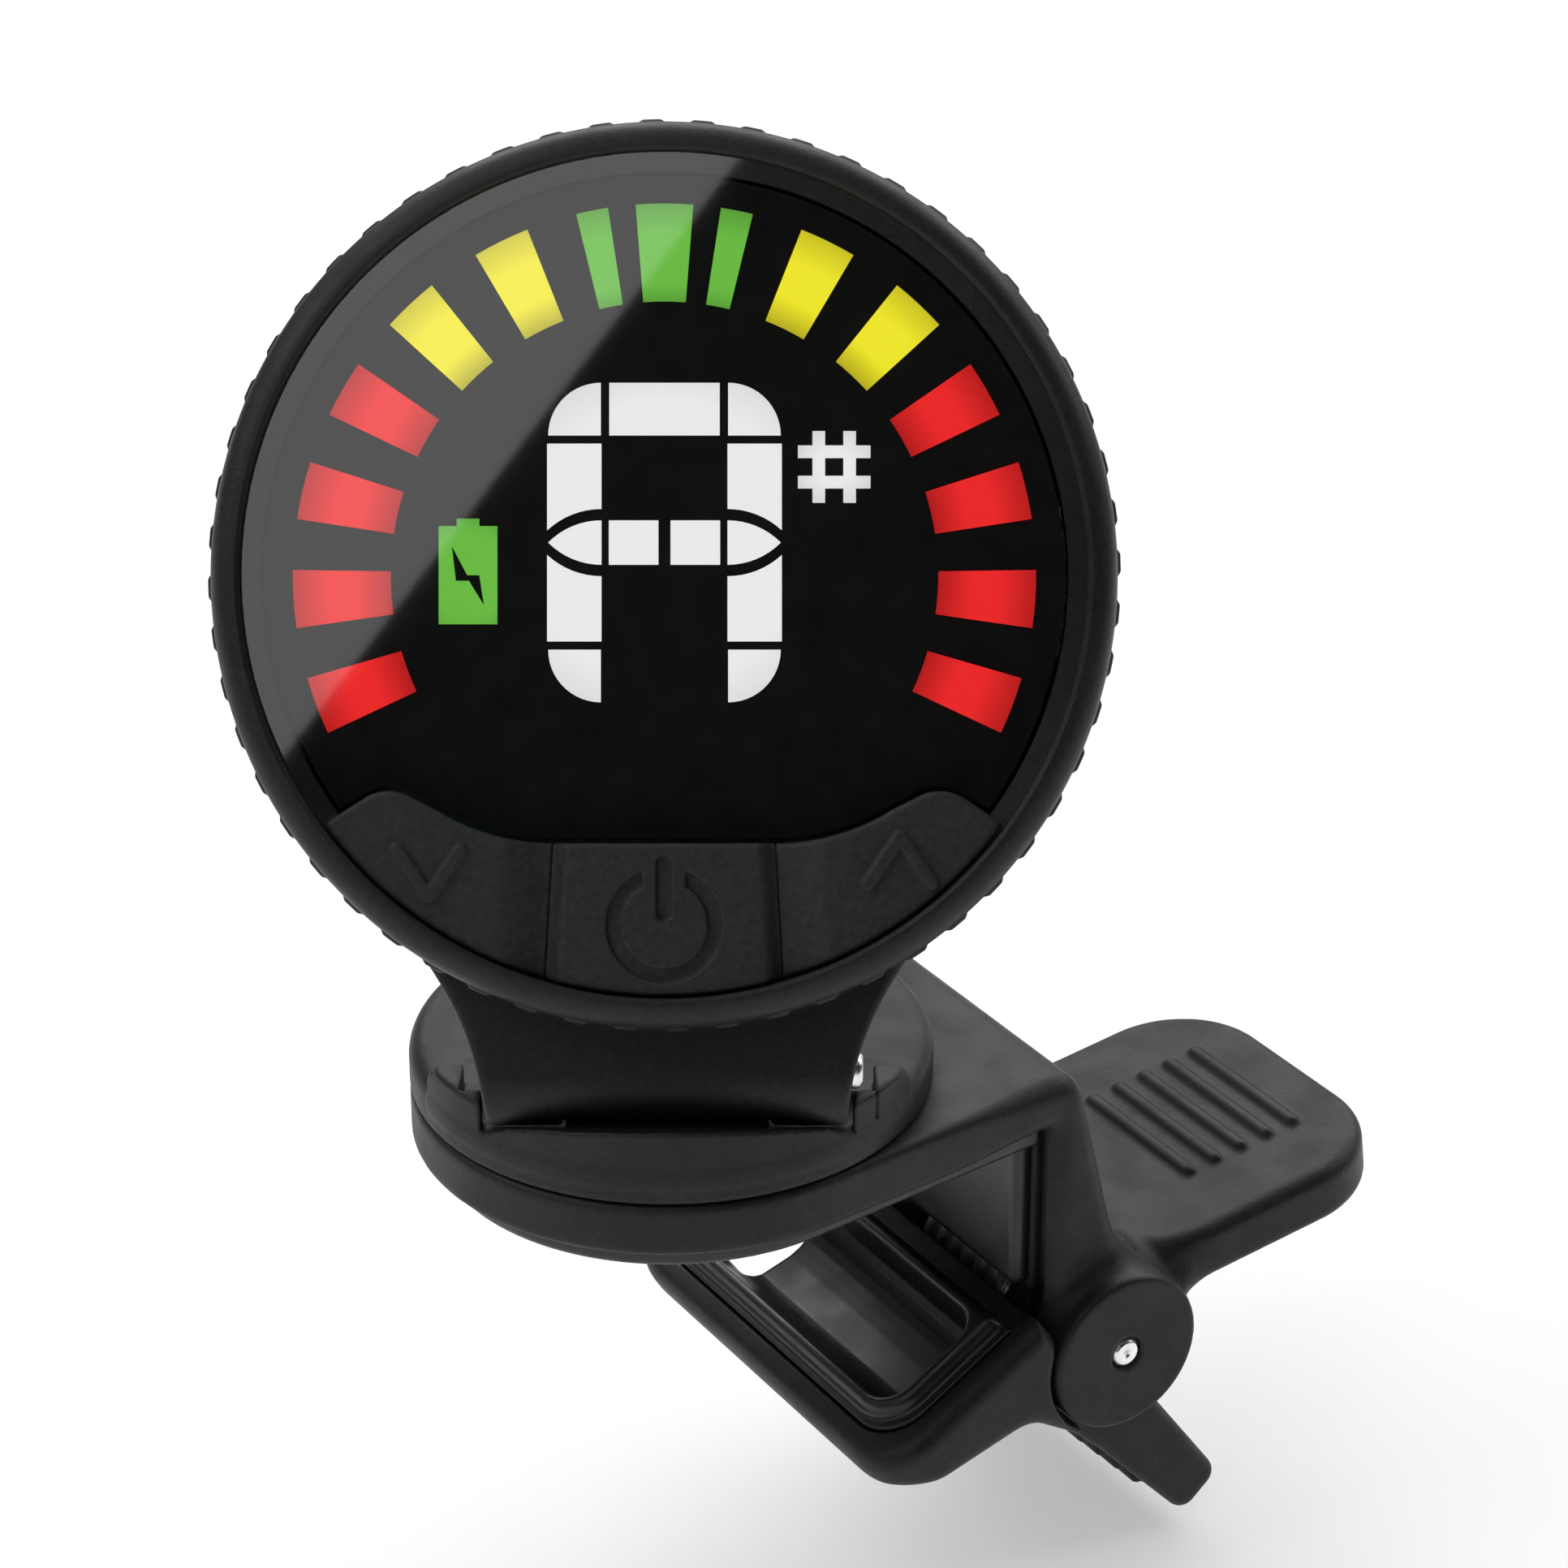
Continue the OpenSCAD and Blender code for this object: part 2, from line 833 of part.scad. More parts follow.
module battery_segment() {
    color([0.42, 0.75, 0.28])
        head_frame()
            translate([-9.04, 0, mask_front - segment_t])
                linear_extrude(height = segment_t)
                    difference() {
                        union() {
                            translate([-1.35, -2.26])
                                square([2.7, 4.52]);
                            translate([-0.52, 2.2])
                                square([1.04, 0.4]);
                        }
                        polygon([
                            [-0.75, 1.35], [-0.04, 0], [0.52, 0],
                            [0.74, -1.4], [0.04, -0.26], [-0.56, -0.26]
                        ]);
                    }
}

module light_guide() {
    color([0.9, 0.9, 0.86])
        head_frame()
            display_disc(window_r - 1.2, 2.7, mask_back - 0.05, 0.2);
}

module board_screw_places() {
    for (side = [-1, 1])
        translate([side * screw_x, screw_y, 0])
            children();
}

module circuit_board() {
    color([0.1, 0.35, 0.2])
        head_frame()
            difference() {
                translate([0, 0, board_back])
                    cylinder(r = 17.9, h = board_t);
                board_screw_places()
                    cylinder(r = 0.75, h = 9, center = true);
            }
}

module tuner_chip() {
    color([0.12, 0.12, 0.13])
        head_frame()
            translate([-3, 8.5, 0.8])
                cube([6, 6, 0.9]);
}

module battery_cell() {
    color([0.75, 0.75, 0.78])
        head_frame()
            translate([-12.5, -8.5, -2.3])
                cube([20, 15, 3]);
}

// USB-C style receptacle: a flat round-ended tube with its contact tongue
module charge_socket() {
    color(steel)
        head_frame()
            translate([0, 0, socket_z])
                difference() {
                    translate([12.2, 0, 0])
                        rotate([0, 90, 0])
                            linear_extrude(height = 7.3)
                                slot_plan(1.58, 4.47);
                    translate([13.2, 0, 0])
                        difference() {
                            rotate([0, 90, 0])
                                linear_extrude(height = 8)
                                    slot_plan(1.28, 4.17);
                            translate([-1, -3.3, -0.35])
                                cube([6.3, 6.6, 0.7]);
                        }
                }
}

module slot_plan(r, half_len) {
    square([2 * r, 2 * (half_len - r)], center = true);
    for (side = [-1, 1])
        translate([0, side * (half_len - r)])
            circle(r = r);
}

module vibration_sensor() {
    color([0.82, 0.68, 0.35])
        head_frame()
            translate([0, -13.2, shell_back + shell_wall])
                cylinder(r = 4, h = 0.5);
}

module tact_switches() {
    color([0.2, 0.2, 0.21])
        head_frame()
            for (i = [0 : 2])
                translate([key_x[i], key_y[i], 2.6]) {
                    translate([-1.1, -1.1, 0])
                        cube([2.2, 2.2, 1.1]);
                    cylinder(r = 0.6, h = 1.4);
                }
}

module board_screws() {
    color(steel)
        head_frame()
            board_screw_places()
                difference() {
                    union() {
                        translate([0, 0, board_back + board_t])
                            cylinder(r = 1.2, h = 0.8);
                        translate([0, 0, -0.6])
                            cylinder(r = 0.7, h = 3.5);
                    }
                    for (a = [0, 90])
                        rotate([0, 0, a])
                            translate([-0.7, -0.14, board_back + board_t + 0.4])
                                cube([1.4, 0.28, 1]);
                }
}

// One key of the lower keypad, between two lines fanned about the middle key
module key_body(x_top, x_low, left) {
    r = window_r - 0.1;
    intersection() {
        difference() {
            circle(r = r);
            above_keys(-key_gap);
        }
        if (left)
            polygon([[-25, -5], [x_top, -5], [x_low, -20], [-25, -20]]);
        else
            polygon([[-x_top, -5], [x_top, -5], [x_low, -20], [-x_low, -20]]);
    }
}

module key_solid() {
    translate([0, 0, key_back])
        linear_extrude(height = key_front - key_back)
            children();
}

module key_stem(i) {
    translate([key_x[i], key_y[i], 4.35])
        cylinder(r = 1.2, h = key_back - 4.35 + eps);
}

module chevron(y_dir) {
    for (side = [-1, 1])
        rotate(side * 32)
            translate([-0.27, y_dir > 0 ? -2.7 : 0])
                square([0.54, 2.7]);
}

module key_down() {
    color(black)
        head_frame() {
            key_solid()
                key_body(-4.75, -5.6, true);
            key_stem(0);
            translate([-10.75, -14.4, key_front - eps])
                linear_extrude(height = 0.15)
                    chevron(-1);
        }
}

module key_up() {
    color(black)
        head_frame() {
            mirror([1, 0, 0])
                key_solid()
                    key_body(-4.75, -5.6, true);
            key_stem(2);
            translate([10.8, -12.2, key_front - eps])
                linear_extrude(height = 0.15)
                    chevron(1);
        }
}

module key_power() {
    color(black)
        head_frame() {
            key_solid()
                key_body(4.63, 5.48, false);
            key_stem(1);
            translate([0, -16.05, key_front - eps])
                linear_extrude(height = 0.15) {
                    difference() {
                        circle(r = 2.67);
                        circle(r = 2);
                        translate([-1, 0])
                            square([2, 4]);
                    }
                    translate([-0.37, 0.3])
                        square([0.74, 2.8]);
                }
        }
}

upper_arm();
upper_pad();
lower_jaw();
lower_pad();
hinge_pin();
torsion_spring();
turret();
swivel_washer();
swivel_screw();
tilt_pin();
rear_shell();
bezel_ring();
display_lens();
display_mask();
meter_red();
meter_yellow();
meter_green();
note_segments();
sharp_segment();
battery_segment();
light_guide();
circuit_board();
tuner_chip();
battery_cell();
charge_socket();
vibration_sensor();
tact_switches();
board_screws();
key_down();
key_power();
key_up();
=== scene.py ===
"""The looks of the clip-on tuner: visible pieces, materials, floor, lights and camera.

The mouldings, pads and keys are signed distance fields in millimetres, skinned into quad meshes
whose corners are moved onto the field's surface. The bezel and the pins are turned and the spring
is a swept tube. The display and the inner pieces keep their CAD meshes. Joint axes and overall
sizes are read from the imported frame.
"""

import json
from functools import reduce
from math import acos, atan2, cos, pi, radians, sin, sqrt, tan

import bpy
import numpy as np
from mathutils import Matrix, Vector


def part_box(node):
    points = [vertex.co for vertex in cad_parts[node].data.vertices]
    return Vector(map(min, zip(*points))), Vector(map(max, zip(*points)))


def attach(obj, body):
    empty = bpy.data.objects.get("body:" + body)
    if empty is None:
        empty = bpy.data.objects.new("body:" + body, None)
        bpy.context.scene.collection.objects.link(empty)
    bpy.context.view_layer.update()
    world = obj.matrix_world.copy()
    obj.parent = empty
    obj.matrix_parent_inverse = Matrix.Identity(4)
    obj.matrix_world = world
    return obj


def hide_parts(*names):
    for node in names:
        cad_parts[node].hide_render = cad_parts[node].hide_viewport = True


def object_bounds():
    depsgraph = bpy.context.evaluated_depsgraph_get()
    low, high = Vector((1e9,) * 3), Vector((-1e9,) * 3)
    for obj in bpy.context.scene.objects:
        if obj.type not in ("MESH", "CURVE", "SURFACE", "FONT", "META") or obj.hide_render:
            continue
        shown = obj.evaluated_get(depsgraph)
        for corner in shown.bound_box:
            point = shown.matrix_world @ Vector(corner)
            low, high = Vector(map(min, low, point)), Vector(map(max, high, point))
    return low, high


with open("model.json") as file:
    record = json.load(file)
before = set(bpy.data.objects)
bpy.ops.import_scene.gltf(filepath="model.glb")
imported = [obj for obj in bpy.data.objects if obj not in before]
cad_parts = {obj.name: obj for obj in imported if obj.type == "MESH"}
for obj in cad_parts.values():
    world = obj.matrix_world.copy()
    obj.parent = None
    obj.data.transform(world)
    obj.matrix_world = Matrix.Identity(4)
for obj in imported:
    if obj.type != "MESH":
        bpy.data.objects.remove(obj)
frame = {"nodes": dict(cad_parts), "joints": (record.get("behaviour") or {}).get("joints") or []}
cad_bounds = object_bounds()

MM = 0.001
SURFACE_STEPS = 2
joints = {j["name"]: j for j in frame["joints"]}


def box_mm(node):
    low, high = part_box(node)
    return low / MM, high / MM


# ---- Frames, in millimetres ----

hinge = Vector(joints["jaw_hinge"]["pos_m"]) / MM
tilt = Vector(joints["head_tilt"]["pos_m"]) / MM
right = Vector(joints["head_tilt"]["axis"]).normalized()
out = -Vector(joints["power_key_press"]["axis"]).normalized()
up = out.cross(right)
bezel_low, bezel_high = box_mm("bezel_ring")
head_rise = ((bezel_low + bezel_high) / 2 - tilt).dot(up)
head_origin = tilt + up * head_rise


def axes_matrix(x_axis, y_axis, z_axis, origin):
    """Takes millimetres in a piece's own axes to metres in the row frame."""
    turn = Matrix((x_axis, y_axis, z_axis)).transposed().to_4x4()
    return Matrix.Scale(MM, 4) @ Matrix.Translation(origin) @ turn


clip_frame = Matrix.Scale(MM, 4)
head_frame = axes_matrix(right, up, out, head_origin)
z_up = Vector((0, 0, 1))
turret_frame = axes_matrix(right, z_up.cross(right), z_up, Vector((0, 0, 0)))


# ---- Distance fields ----


def both(a, b, r=0.0):
    """Intersection with its edge rounded to radius r."""
    outer = np.sqrt(np.maximum(a + r, 0) ** 2 + np.maximum(b + r, 0) ** 2)
    return np.minimum(np.maximum(a, b), -r) + outer


def either(a, b, r=0.0):
    """Union with a fillet of radius r."""
    return -both(-a, -b, r)


def less(a, b, r=0.0):
    """a with b cut out, the cut's edge rounded to radius r."""
    return both(a, -b, r)


def disc(u, v, r, cu=0.0, cv=0.0):
    return np.sqrt((u - cu) ** 2 + (v - cv) ** 2) - r


def slab(w, low, high):
    return np.abs(w - (low + high) / 2) - (high - low) / 2


def oblong(u, v, half_u, half_v, r):
    """Rectangle with round corners, centred."""
    du = np.abs(u) - half_u + r
    dv = np.abs(v) - half_v + r
    corner = np.sqrt(np.maximum(du, 0) ** 2 + np.maximum(dv, 0) ** 2)
    return np.minimum(np.maximum(du, dv), 0) + corner - r


def stroke(u, v, ends, half_w):
    """Line of segments with round ends."""
    best = None
    for (au, av), (bu, bv) in zip(ends, ends[1:]):
        eu, ev = bu - au, bv - av
        t = np.clip(((u - au) * eu + (v - av) * ev) / (eu * eu + ev * ev), 0, 1)
        d = np.sqrt((u - au - eu * t) ** 2 + (v - av - ev * t) ** 2)
        best = d if best is None else np.minimum(best, d)
    return best - half_w


def outline(u, v, points):
    """Signed distance to a closed outline in a plane."""
    nearest = None
    inside = None
    for (au, av), (bu, bv) in zip(points, points[-1:] + points[:-1]):
        eu, ev = bu - au, bv - av
        wu, wv = u - au, v - av
        t = np.clip((wu * eu + wv * ev) / (eu * eu + ev * ev), 0, 1)
        d = (wu - eu * t) ** 2 + (wv - ev * t) ** 2
        nearest = d if nearest is None else np.minimum(nearest, d)
        above, below = v >= av, v < bv
        turns = eu * wv > ev * wu
        crosses = (above & below & turns) | (~above & ~below & ~turns)
        inside = crosses if inside is None else inside ^ crosses
    return np.where(inside, -1.0, 1.0) * np.sqrt(nearest)


def rounded(corners, steps=6):
    """Outline whose corners (u, v, radius) are turned into arcs."""
    points = []
    for k, (u, v, r) in enumerate(corners):
        if r == 0:
            points.append((u, v))
            continue
        here = Vector((u, v))
        back = (Vector(corners[k - 1][:2]) - here).normalized()
        ahead = (Vector(corners[(k + 1) % len(corners)][:2]) - here).normalized()
        half = acos(max(-1.0, min(1.0, back.dot(ahead)))) / 2
        centre = here + (back + ahead).normalized() * (r / sin(half))
        start = here + back * (r / tan(half)) - centre
        sweep = pi - 2 * half
        if start.x * (ahead.y - back.y) - start.y * (ahead.x - back.x) < 0:
            sweep = -sweep
        for i in range(steps + 1):
            a = sweep * i / steps
            x = start.x * cos(a) - start.y * sin(a)
            y = start.x * sin(a) + start.y * cos(a)
            points.append((centre.x + x, centre.y + y))
    return points


def smooth_step(t):
    t = np.clip(t, 0, 1)
    return t * t * (3 - 2 * t)


# ---- Meshes ----


def new_object(name, points, faces, matrix, body, slot, node):
    """A smooth-shaded piece that rides on a body and stands for a CAD node."""
    mesh = bpy.data.meshes.new(name)
    turn = np.array(matrix)
    placed = points @ turn[:3, :3].T + turn[:3, 3]
    mesh.from_pydata(placed.tolist(), [], faces)
    mesh.update()
    mesh.shade_smooth()
    piece = bpy.data.objects.new(name, mesh)
    bpy.context.scene.collection.objects.link(piece)
    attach(piece, body)
    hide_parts(node)
    return piece


def skin(field, low, high, cell):
    """Quads over the field's zero surface, with each corner moved onto that surface."""
    axes = [np.arange(low[i], high[i] + cell, cell) for i in range(3)]
    counts = [len(a) for a in axes]
    grid = np.meshgrid(*axes, indexing="ij", sparse=True)
    d = np.broadcast_to(field(*grid), counts)
    solid = d < 0
    step = np.eye(3, dtype=int)
    quads, crossings = [], []
    for axis in range(3):
        first, second = [slice(None)] * 3, [slice(None)] * 3
        first[axis], second[axis] = slice(None, -1), slice(1, None)
        edges = np.argwhere(solid[tuple(first)] != solid[tuple(second)])
        start = d[tuple(edges.T)]
        end = d[tuple((edges + step[axis]).T)]
        u, v = step[(axis + 1) % 3], step[(axis + 2) % 3]
        around = np.stack([edges, edges - u, edges - u - v, edges - v], 1)
        hollow_first = ~solid[tuple(edges.T)]
        around[hollow_first] = around[hollow_first][:, ::-1]
        quads.append(around)
        share = (start / (start - end))[:, None]
        crossings.append(np.repeat((edges + share * step[axis])[:, None], 4, 1))
    quads = np.concatenate(quads)
    crossings = np.concatenate(crossings).reshape(-1, 3)
    keys = np.ravel_multi_index(quads.reshape(-1, 3).T, counts)
    _, index = np.unique(keys, return_inverse=True)
    index = index.ravel()
    total = np.bincount(index)
    points = np.stack([np.bincount(index, crossings[:, k]) / total for k in range(3)], 1)
    points = points * cell + np.array([a[0] for a in axes])
    for _ in range(SURFACE_STEPS):
        points = onto_surface(field, points, cell)
    return points, index.reshape(-1, 4).tolist()


def onto_surface(field, points, cell):
    """One Newton step of each point towards the field's zero."""
    h = cell * 0.05
    value = field(*points.T)
    slope = np.stack(
        [field(*(points + h * e).T) - field(*(points - h * e).T) for e in np.eye(3)], 1
    ) / (2 * h)
    size = np.maximum((slope**2).sum(1), 0.1)
    move = slope * (value / size)[:, None]
    return points - np.clip(move, -cell / 2, cell / 2)


def lathe(profile, steps):
    """Closed profile (radius, height) turned about z; a radius may be a function of the angle."""
    points, faces = [], []
    n = len(profile)
    for i in range(steps):
        a = 2 * pi * i / steps
        for r, z in profile:
            radius = r(a) if callable(r) else r
            points.append((radius * cos(a), radius * sin(a), z))
    for i in range(steps):
        j = (i + 1) % steps
        for k in range(n):
            m = (k + 1) % n
            faces.append((i * n + k, j * n + k, j * n + m, i * n + m))
    return np.array(points), faces


def arc(cu, cv, r, start, end, steps):
    """Points of an arc, angles in degrees."""
    angles = [radians(start + (end - start) * i / steps) for i in range(steps + 1)]
    return [(cu + r * cos(a), cv + r * sin(a)) for a in angles]


# ---- Clip: upper arm, pads, pin and spring ----

arm_low, arm_high = box_mm("upper_arm")
jaw_low, jaw_high = box_mm("lower_jaw")
pad_t = 1.25
plate_top = 4.0
disc_r = -arm_low.x
leg_half_w = 11.2
leg_start_x = 15.7
leg_in_x = 15.1
plate_disc_r = 12.8
pad_disc_r = 11.6
hinge_half_w = arm_high.y
boss_r = hinge.z - arm_low.z
tab_slope = radians(7.6)
tab_half_w = 9.2
tab_t = 3.1
tab_root = (24.3, -9.55)
tab_end = (arm_high.x - tab_root[0]) / cos(tab_slope)
knuckle_y = 9.3
pin_r = 0.85

leg_points = rounded([
    (-16, plate_top, 0), (16.95, plate_top, 1.9), (19.35, -5.9, 9.0), (21.6, -10.2, 0),
    (24, -12.2, 0), (22.4, -13.9, 0), (hinge.x, hinge.z - 2, 0), (hinge.x - boss_r, hinge.z, 0),
    (leg_in_x, hinge.z + 3.2, 0), (leg_in_x, pad_t, 0.5), (-16, pad_t, 0),
])


def arm_plan(x, y):
    reach = sqrt(leg_start_x**2 + leg_half_w**2)
    touch = atan2(leg_half_w, leg_start_x) + acos(disc_r / reach)
    corner = (disc_r * cos(touch), disc_r * sin(touch))
    side = [(0, 0), corner, (leg_start_x, leg_half_w), (28, leg_half_w)]
    points = side + [(u, -v) for u, v in reversed(side[1:])]
    return np.minimum(disc(x, y, disc_r), outline(x, y, points))


def tab_field(x, y, z):
    u = (x - tab_root[0]) * cos(tab_slope) + (z - tab_root[1]) * sin(tab_slope)
    w = (z - tab_root[1]) * cos(tab_slope) - (x - tab_root[0]) * sin(tab_slope)
    start = -3.0
    middle = (tab_end + start) / 2
    plan = oblong(u - middle, y, tab_end - middle, tab_half_w, 5.5)
    tab = both(plan, slab(w, -tab_t, 0), 0.75)
    ribs = reduce(np.minimum, [disc(u, w, 0.45, 4.6 + 1.7 * i, -0.12) for i in range(5)])
    ribs = both(ribs, np.abs(y) - 4.6, 0.25)
    return tab, ribs


def upper_arm(x, y, z):
    edge = 0.42 + 0.75 * smooth_step((x - 8) / 8)
    arm = both(outline(x, z, leg_points), arm_plan(x, y), edge)
    tab, ribs = tab_field(x, y, z)
    arm = either(arm, tab, 3.2)
    boss = disc(x, z, boss_r, hinge.x, hinge.z)
    boss = both(boss, slab(np.abs(y), knuckle_y - 2, hinge_half_w), 0.3)
    arm = either(arm, boss, 1.1)
    arm = either(arm, ribs, 0.15)
    room = disc(x, z, 4.2, hinge.x, hinge.z)
    sweep = both(disc(x, z, 5.6, hinge.x, hinge.z), z - hinge.z)
    slot = np.maximum(slab(x, 11.1, 15.7), slab(z, hinge.z - 1, hinge.z + 3.15))
    room = np.minimum(np.minimum(room, sweep), slot)
    arm = less(arm, both(room, np.abs(y) - knuckle_y), 0.3)
    groove = np.maximum(slab(x, 14.0, 15.9), slab(z, hinge.z + 1, pad_t - 0.6))
    arm = less(arm, both(groove, slab(np.abs(y), 9.5, 10.35)), 0.3)
    arm = less(arm, disc(x, z, pin_r + 0.04, hinge.x, hinge.z), 0.08)
    arm = less(arm, disc(x, y, 2.65), 0.2)
    return less(arm, both(disc(x, y, 5.0), z - pad_t - 1.3), 0.1)


def upper_pad(x, y, z):
    plan = arm_plan(x * plate_disc_r / pad_disc_r, y * plate_disc_r / pad_disc_r)
    plan = plan * pad_disc_r / plate_disc_r
    plan = both(plan, x - 15.05)
    flat = both(plan, slab(z, 0, pad_t), 0.3)
    upright = oblong(x - 14.6, z + 3.6, 0.5, 4.7, 0.35)
    upright = both(upright, np.abs(y) - 9.45, 0.4)
    return either(flat, upright, 0.3)


arm = new_object(
    "arm_moulding", *skin(upper_arm, (-13.3, -13, -17), (arm_high.x + 0.5, 13, 4.5), 0.24),
    clip_frame, "clip", "body_plastic", "upper_arm")
plate_pad = new_object(
    "plate_pad", *skin(upper_pad, (-12.2, -12.2, -8.8), (15.5, 12.2, 1.7), 0.18),
    clip_frame, "clip", "pad_rubber", "upper_pad")


def pin_profile(r, end, chamfer):
    return [
        (0.001, -end), (r - chamfer - 0.03, -end), (r - chamfer, -end + 0.02),
        (r, -end + chamfer), (r, end - chamfer),
        (r - chamfer, end - 0.02), (r - chamfer - 0.03, end), (0.001, end),
    ]


along_y = axes_matrix(Vector((1, 0, 0)), Vector((0, 0, -1)), Vector((0, 1, 0)), hinge)
pin_end = box_mm("hinge_pin")[1].y
hinge_rod = new_object(
    "hinge_rod", *lathe(pin_profile(pin_r, pin_end, 0.22), 72),
    along_y, "clip", "pin_steel", "hinge_pin")


def coil(turns, coil_r, wire_r, pitch, start_y, per_turn=40, sides=14):
    """Tube along a helix about y, its ends rounded off by a short taper."""
    steps = int(turns * per_turn)
    points, faces = [], []
    for i in range(steps + 1):
        a = radians(150) + 2 * pi * i / per_turn
        y = start_y + pitch * i / per_turn
        near_end = min(i, steps - i) / 2
        r = wire_r * min(1.0, 0.4 + 0.6 * near_end)
        for k in range(sides):
            b = 2 * pi * k / sides
            radius = coil_r + r * cos(b)
            points.append((radius * cos(a), y + r * sin(b), radius * sin(a)))
    for i in range(steps):
        for k in range(sides):
            m = (k + 1) % sides
            faces.append((i * sides + k, i * sides + m, (i + 1) * sides + m, (i + 1) * sides + k))
    faces.append(tuple(range(sides))[::-1])
    faces.append(tuple(steps * sides + k for k in range(sides)))
    return np.array(points), faces


spring_low, spring_high = box_mm("torsion_spring")
wire_r = 0.52
coil_turns = 7
coil_pitch = (spring_high.y - spring_low.y - 2 * wire_r) / coil_turns
spring = new_object(
    "spring_coil",
    *coil(coil_turns, (spring_high.z - spring_low.z) / 2 - wire_r, wire_r, coil_pitch,
          spring_low.y + wire_r),
    Matrix.Scale(MM, 4) @ Matrix.Translation(hinge), "clip", "spring_steel", "torsion_spring")

# ---- Jaw ----

paddle_slope = radians(30.8)
paddle_top = 5.48
tip_x = -14.2
lever_half_w = 9.1
bead_h = 0.75
window_u = (-10.5, -4.8)
window_y = (5.9, 9.9)
paddle_points = rounded([
    (-2.65, paddle_top, 0), (tip_x, paddle_top, 1.1), (tip_x + 0.1, 3.3, 0.9), (-11.6, 2.2, 3.5),
    (-6.0, 0.75, 2.2), (-4.3, -2.6, 0), (-2.0, -1, 0),
], 5)
lever_points = rounded([
    (-5.3, -2.4, 0), (-4.3, -4.5, 1.2), (-1.1, -6.25, 4.0), (1.6, -8.85, 6.0), (7.1, -14.85, 0.9),
    (9.35, -12.9, 0.9), (4.7, -6.4, 6.0), (3.0, -2.2, 0), (0, 0, 0), (-3.0, 0, 0),
], 5)
trough_points = (
    [(-11.0, 8.5)] + arc(-8.4, 5.8, 2.6, 180, 240, 6) + arc(-7.5, 6.3, 3.2, 252, 318, 6)
    + [(-4.65, 6.4), (-4.65, 8.5)]
)


def paddle_axes(x, z):
    """The paddle's own axes: u from the hinge, w square to the paddle."""
    hx, hz = x - hinge.x, z - hinge.z
    c, s = cos(paddle_slope), sin(paddle_slope)
    return hx * c + hz * s, hz * c - hx * s


def paddle_plan(u, y, half_w, u0, u1, r):
    return oblong(u - (u0 + u1 + 6) / 2, y, (u1 + 6 - u0) / 2, half_w, r)


def lower_jaw(x, y, z):
    u, w = paddle_axes(x, z)
    plan = both(paddle_plan(u, y, hinge_half_w, tip_x, 0, 3.4), u + 1.2)
    paddle = both(outline(u, w, paddle_points), plan, 1.0)
    hx, hz = x - hinge.x, z - hinge.z
    lever = both(outline(hx, hz, lever_points), np.abs(y) - lever_half_w, 0.7)
    knuckle = both(disc(hx, hz, 3.5), np.abs(y) - lever_half_w, 0.3)
    jaw = either(either(paddle, lever, 1.4), knuckle, 0.5)
    ridges = reduce(
        np.minimum, [disc(hx, hz, 0.5, 2.75 + 1.2 * i, -10.0 - 1.3 * i) for i in range(4)])
    jaw = either(jaw, both(ridges, np.abs(y) - 6, 0.3), 0.15)
    bosses = both(disc(hx, hz, boss_r + 0.3), lever_half_w - np.abs(y))
    jaw = less(jaw, bosses, 0.2)
    room = np.minimum(disc(hx, hz, 3.7), np.maximum(slab(hx, -3.6, 5), slab(hz, 0, 5)))
    jaw = less(jaw, both(room, np.abs(y) - 6.6), 0.15)
    jaw = less(jaw, disc(hx, hz, pin_r + 0.06), 0.1)
    seat = both(paddle_plan(u, y, 11.35, -12.43, 0, 2.6), 4.4 - w)
    jaw = less(jaw, seat, 0.12)
    trough = both(outline(u, w, trough_points) - 0.45, np.abs(y + 0.75) - 9.75)
    jaw = less(jaw, trough, 0.1)
    window = both(slab(u, *window_u), slab(y, *window_y))
    notch = both(both(slab(u, *window_u), window_y[0] - y), w - 4.1)
    return less(jaw, np.minimum(window, notch), 0.15)


def lower_pad(x, y, z):
    u, w = paddle_axes(x, z)
    base_plan = both(paddle_plan(u, y, 11.25, -12.33, -3.9, 2.6), u + 3.9)
    base = both(base_plan, slab(w, 4.45, paddle_top), 0.1)
    bead_plan = both(paddle_plan(u, y, 10.6, -11.78, -4.0, 2.3), u + 4.0, 0.4)
    bead = both(bead_plan, slab(w, 4.6, paddle_top + bead_h), 0.6)
    under = both(outline(u, w, trough_points) - 0.4, np.abs(y + 0.75) - 9.7)
    under = both(under, w - paddle_top + 0.3)
    pad = either(np.minimum(base, under), bead, 0.35)
    trough = both(outline(u, w, trough_points), np.abs(y + 0.8) - 9.0, 1.6)
    pad = less(pad, trough, 0.35)
    window = both(slab(u, -10.4, -4.9), slab(y, 5.95, 9.85), 0.5)
    return less(pad, window, 0.25)


jaw = new_object(
    "jaw_moulding", *skin(lower_jaw, (jaw_low.x - 0.4, -13, jaw_low.z - 0.4),
                          (jaw_high.x + 0.5, 13, jaw_high.z + 0.4), 0.2),
    clip_frame, "jaw", "body_plastic", "lower_jaw")
jaw_pad_low, jaw_pad_high = box_mm("lower_pad")
jaw_pad = new_object(
    "jaw_pad", *skin(lower_pad, jaw_pad_low - Vector((0.5, 0.5, 0.5)),
                     jaw_pad_high + Vector((0.5, 0.5, 0.5)), 0.13),
    clip_frame, "jaw", "pad_rubber", "lower_pad")

# ---- Swivel base ----

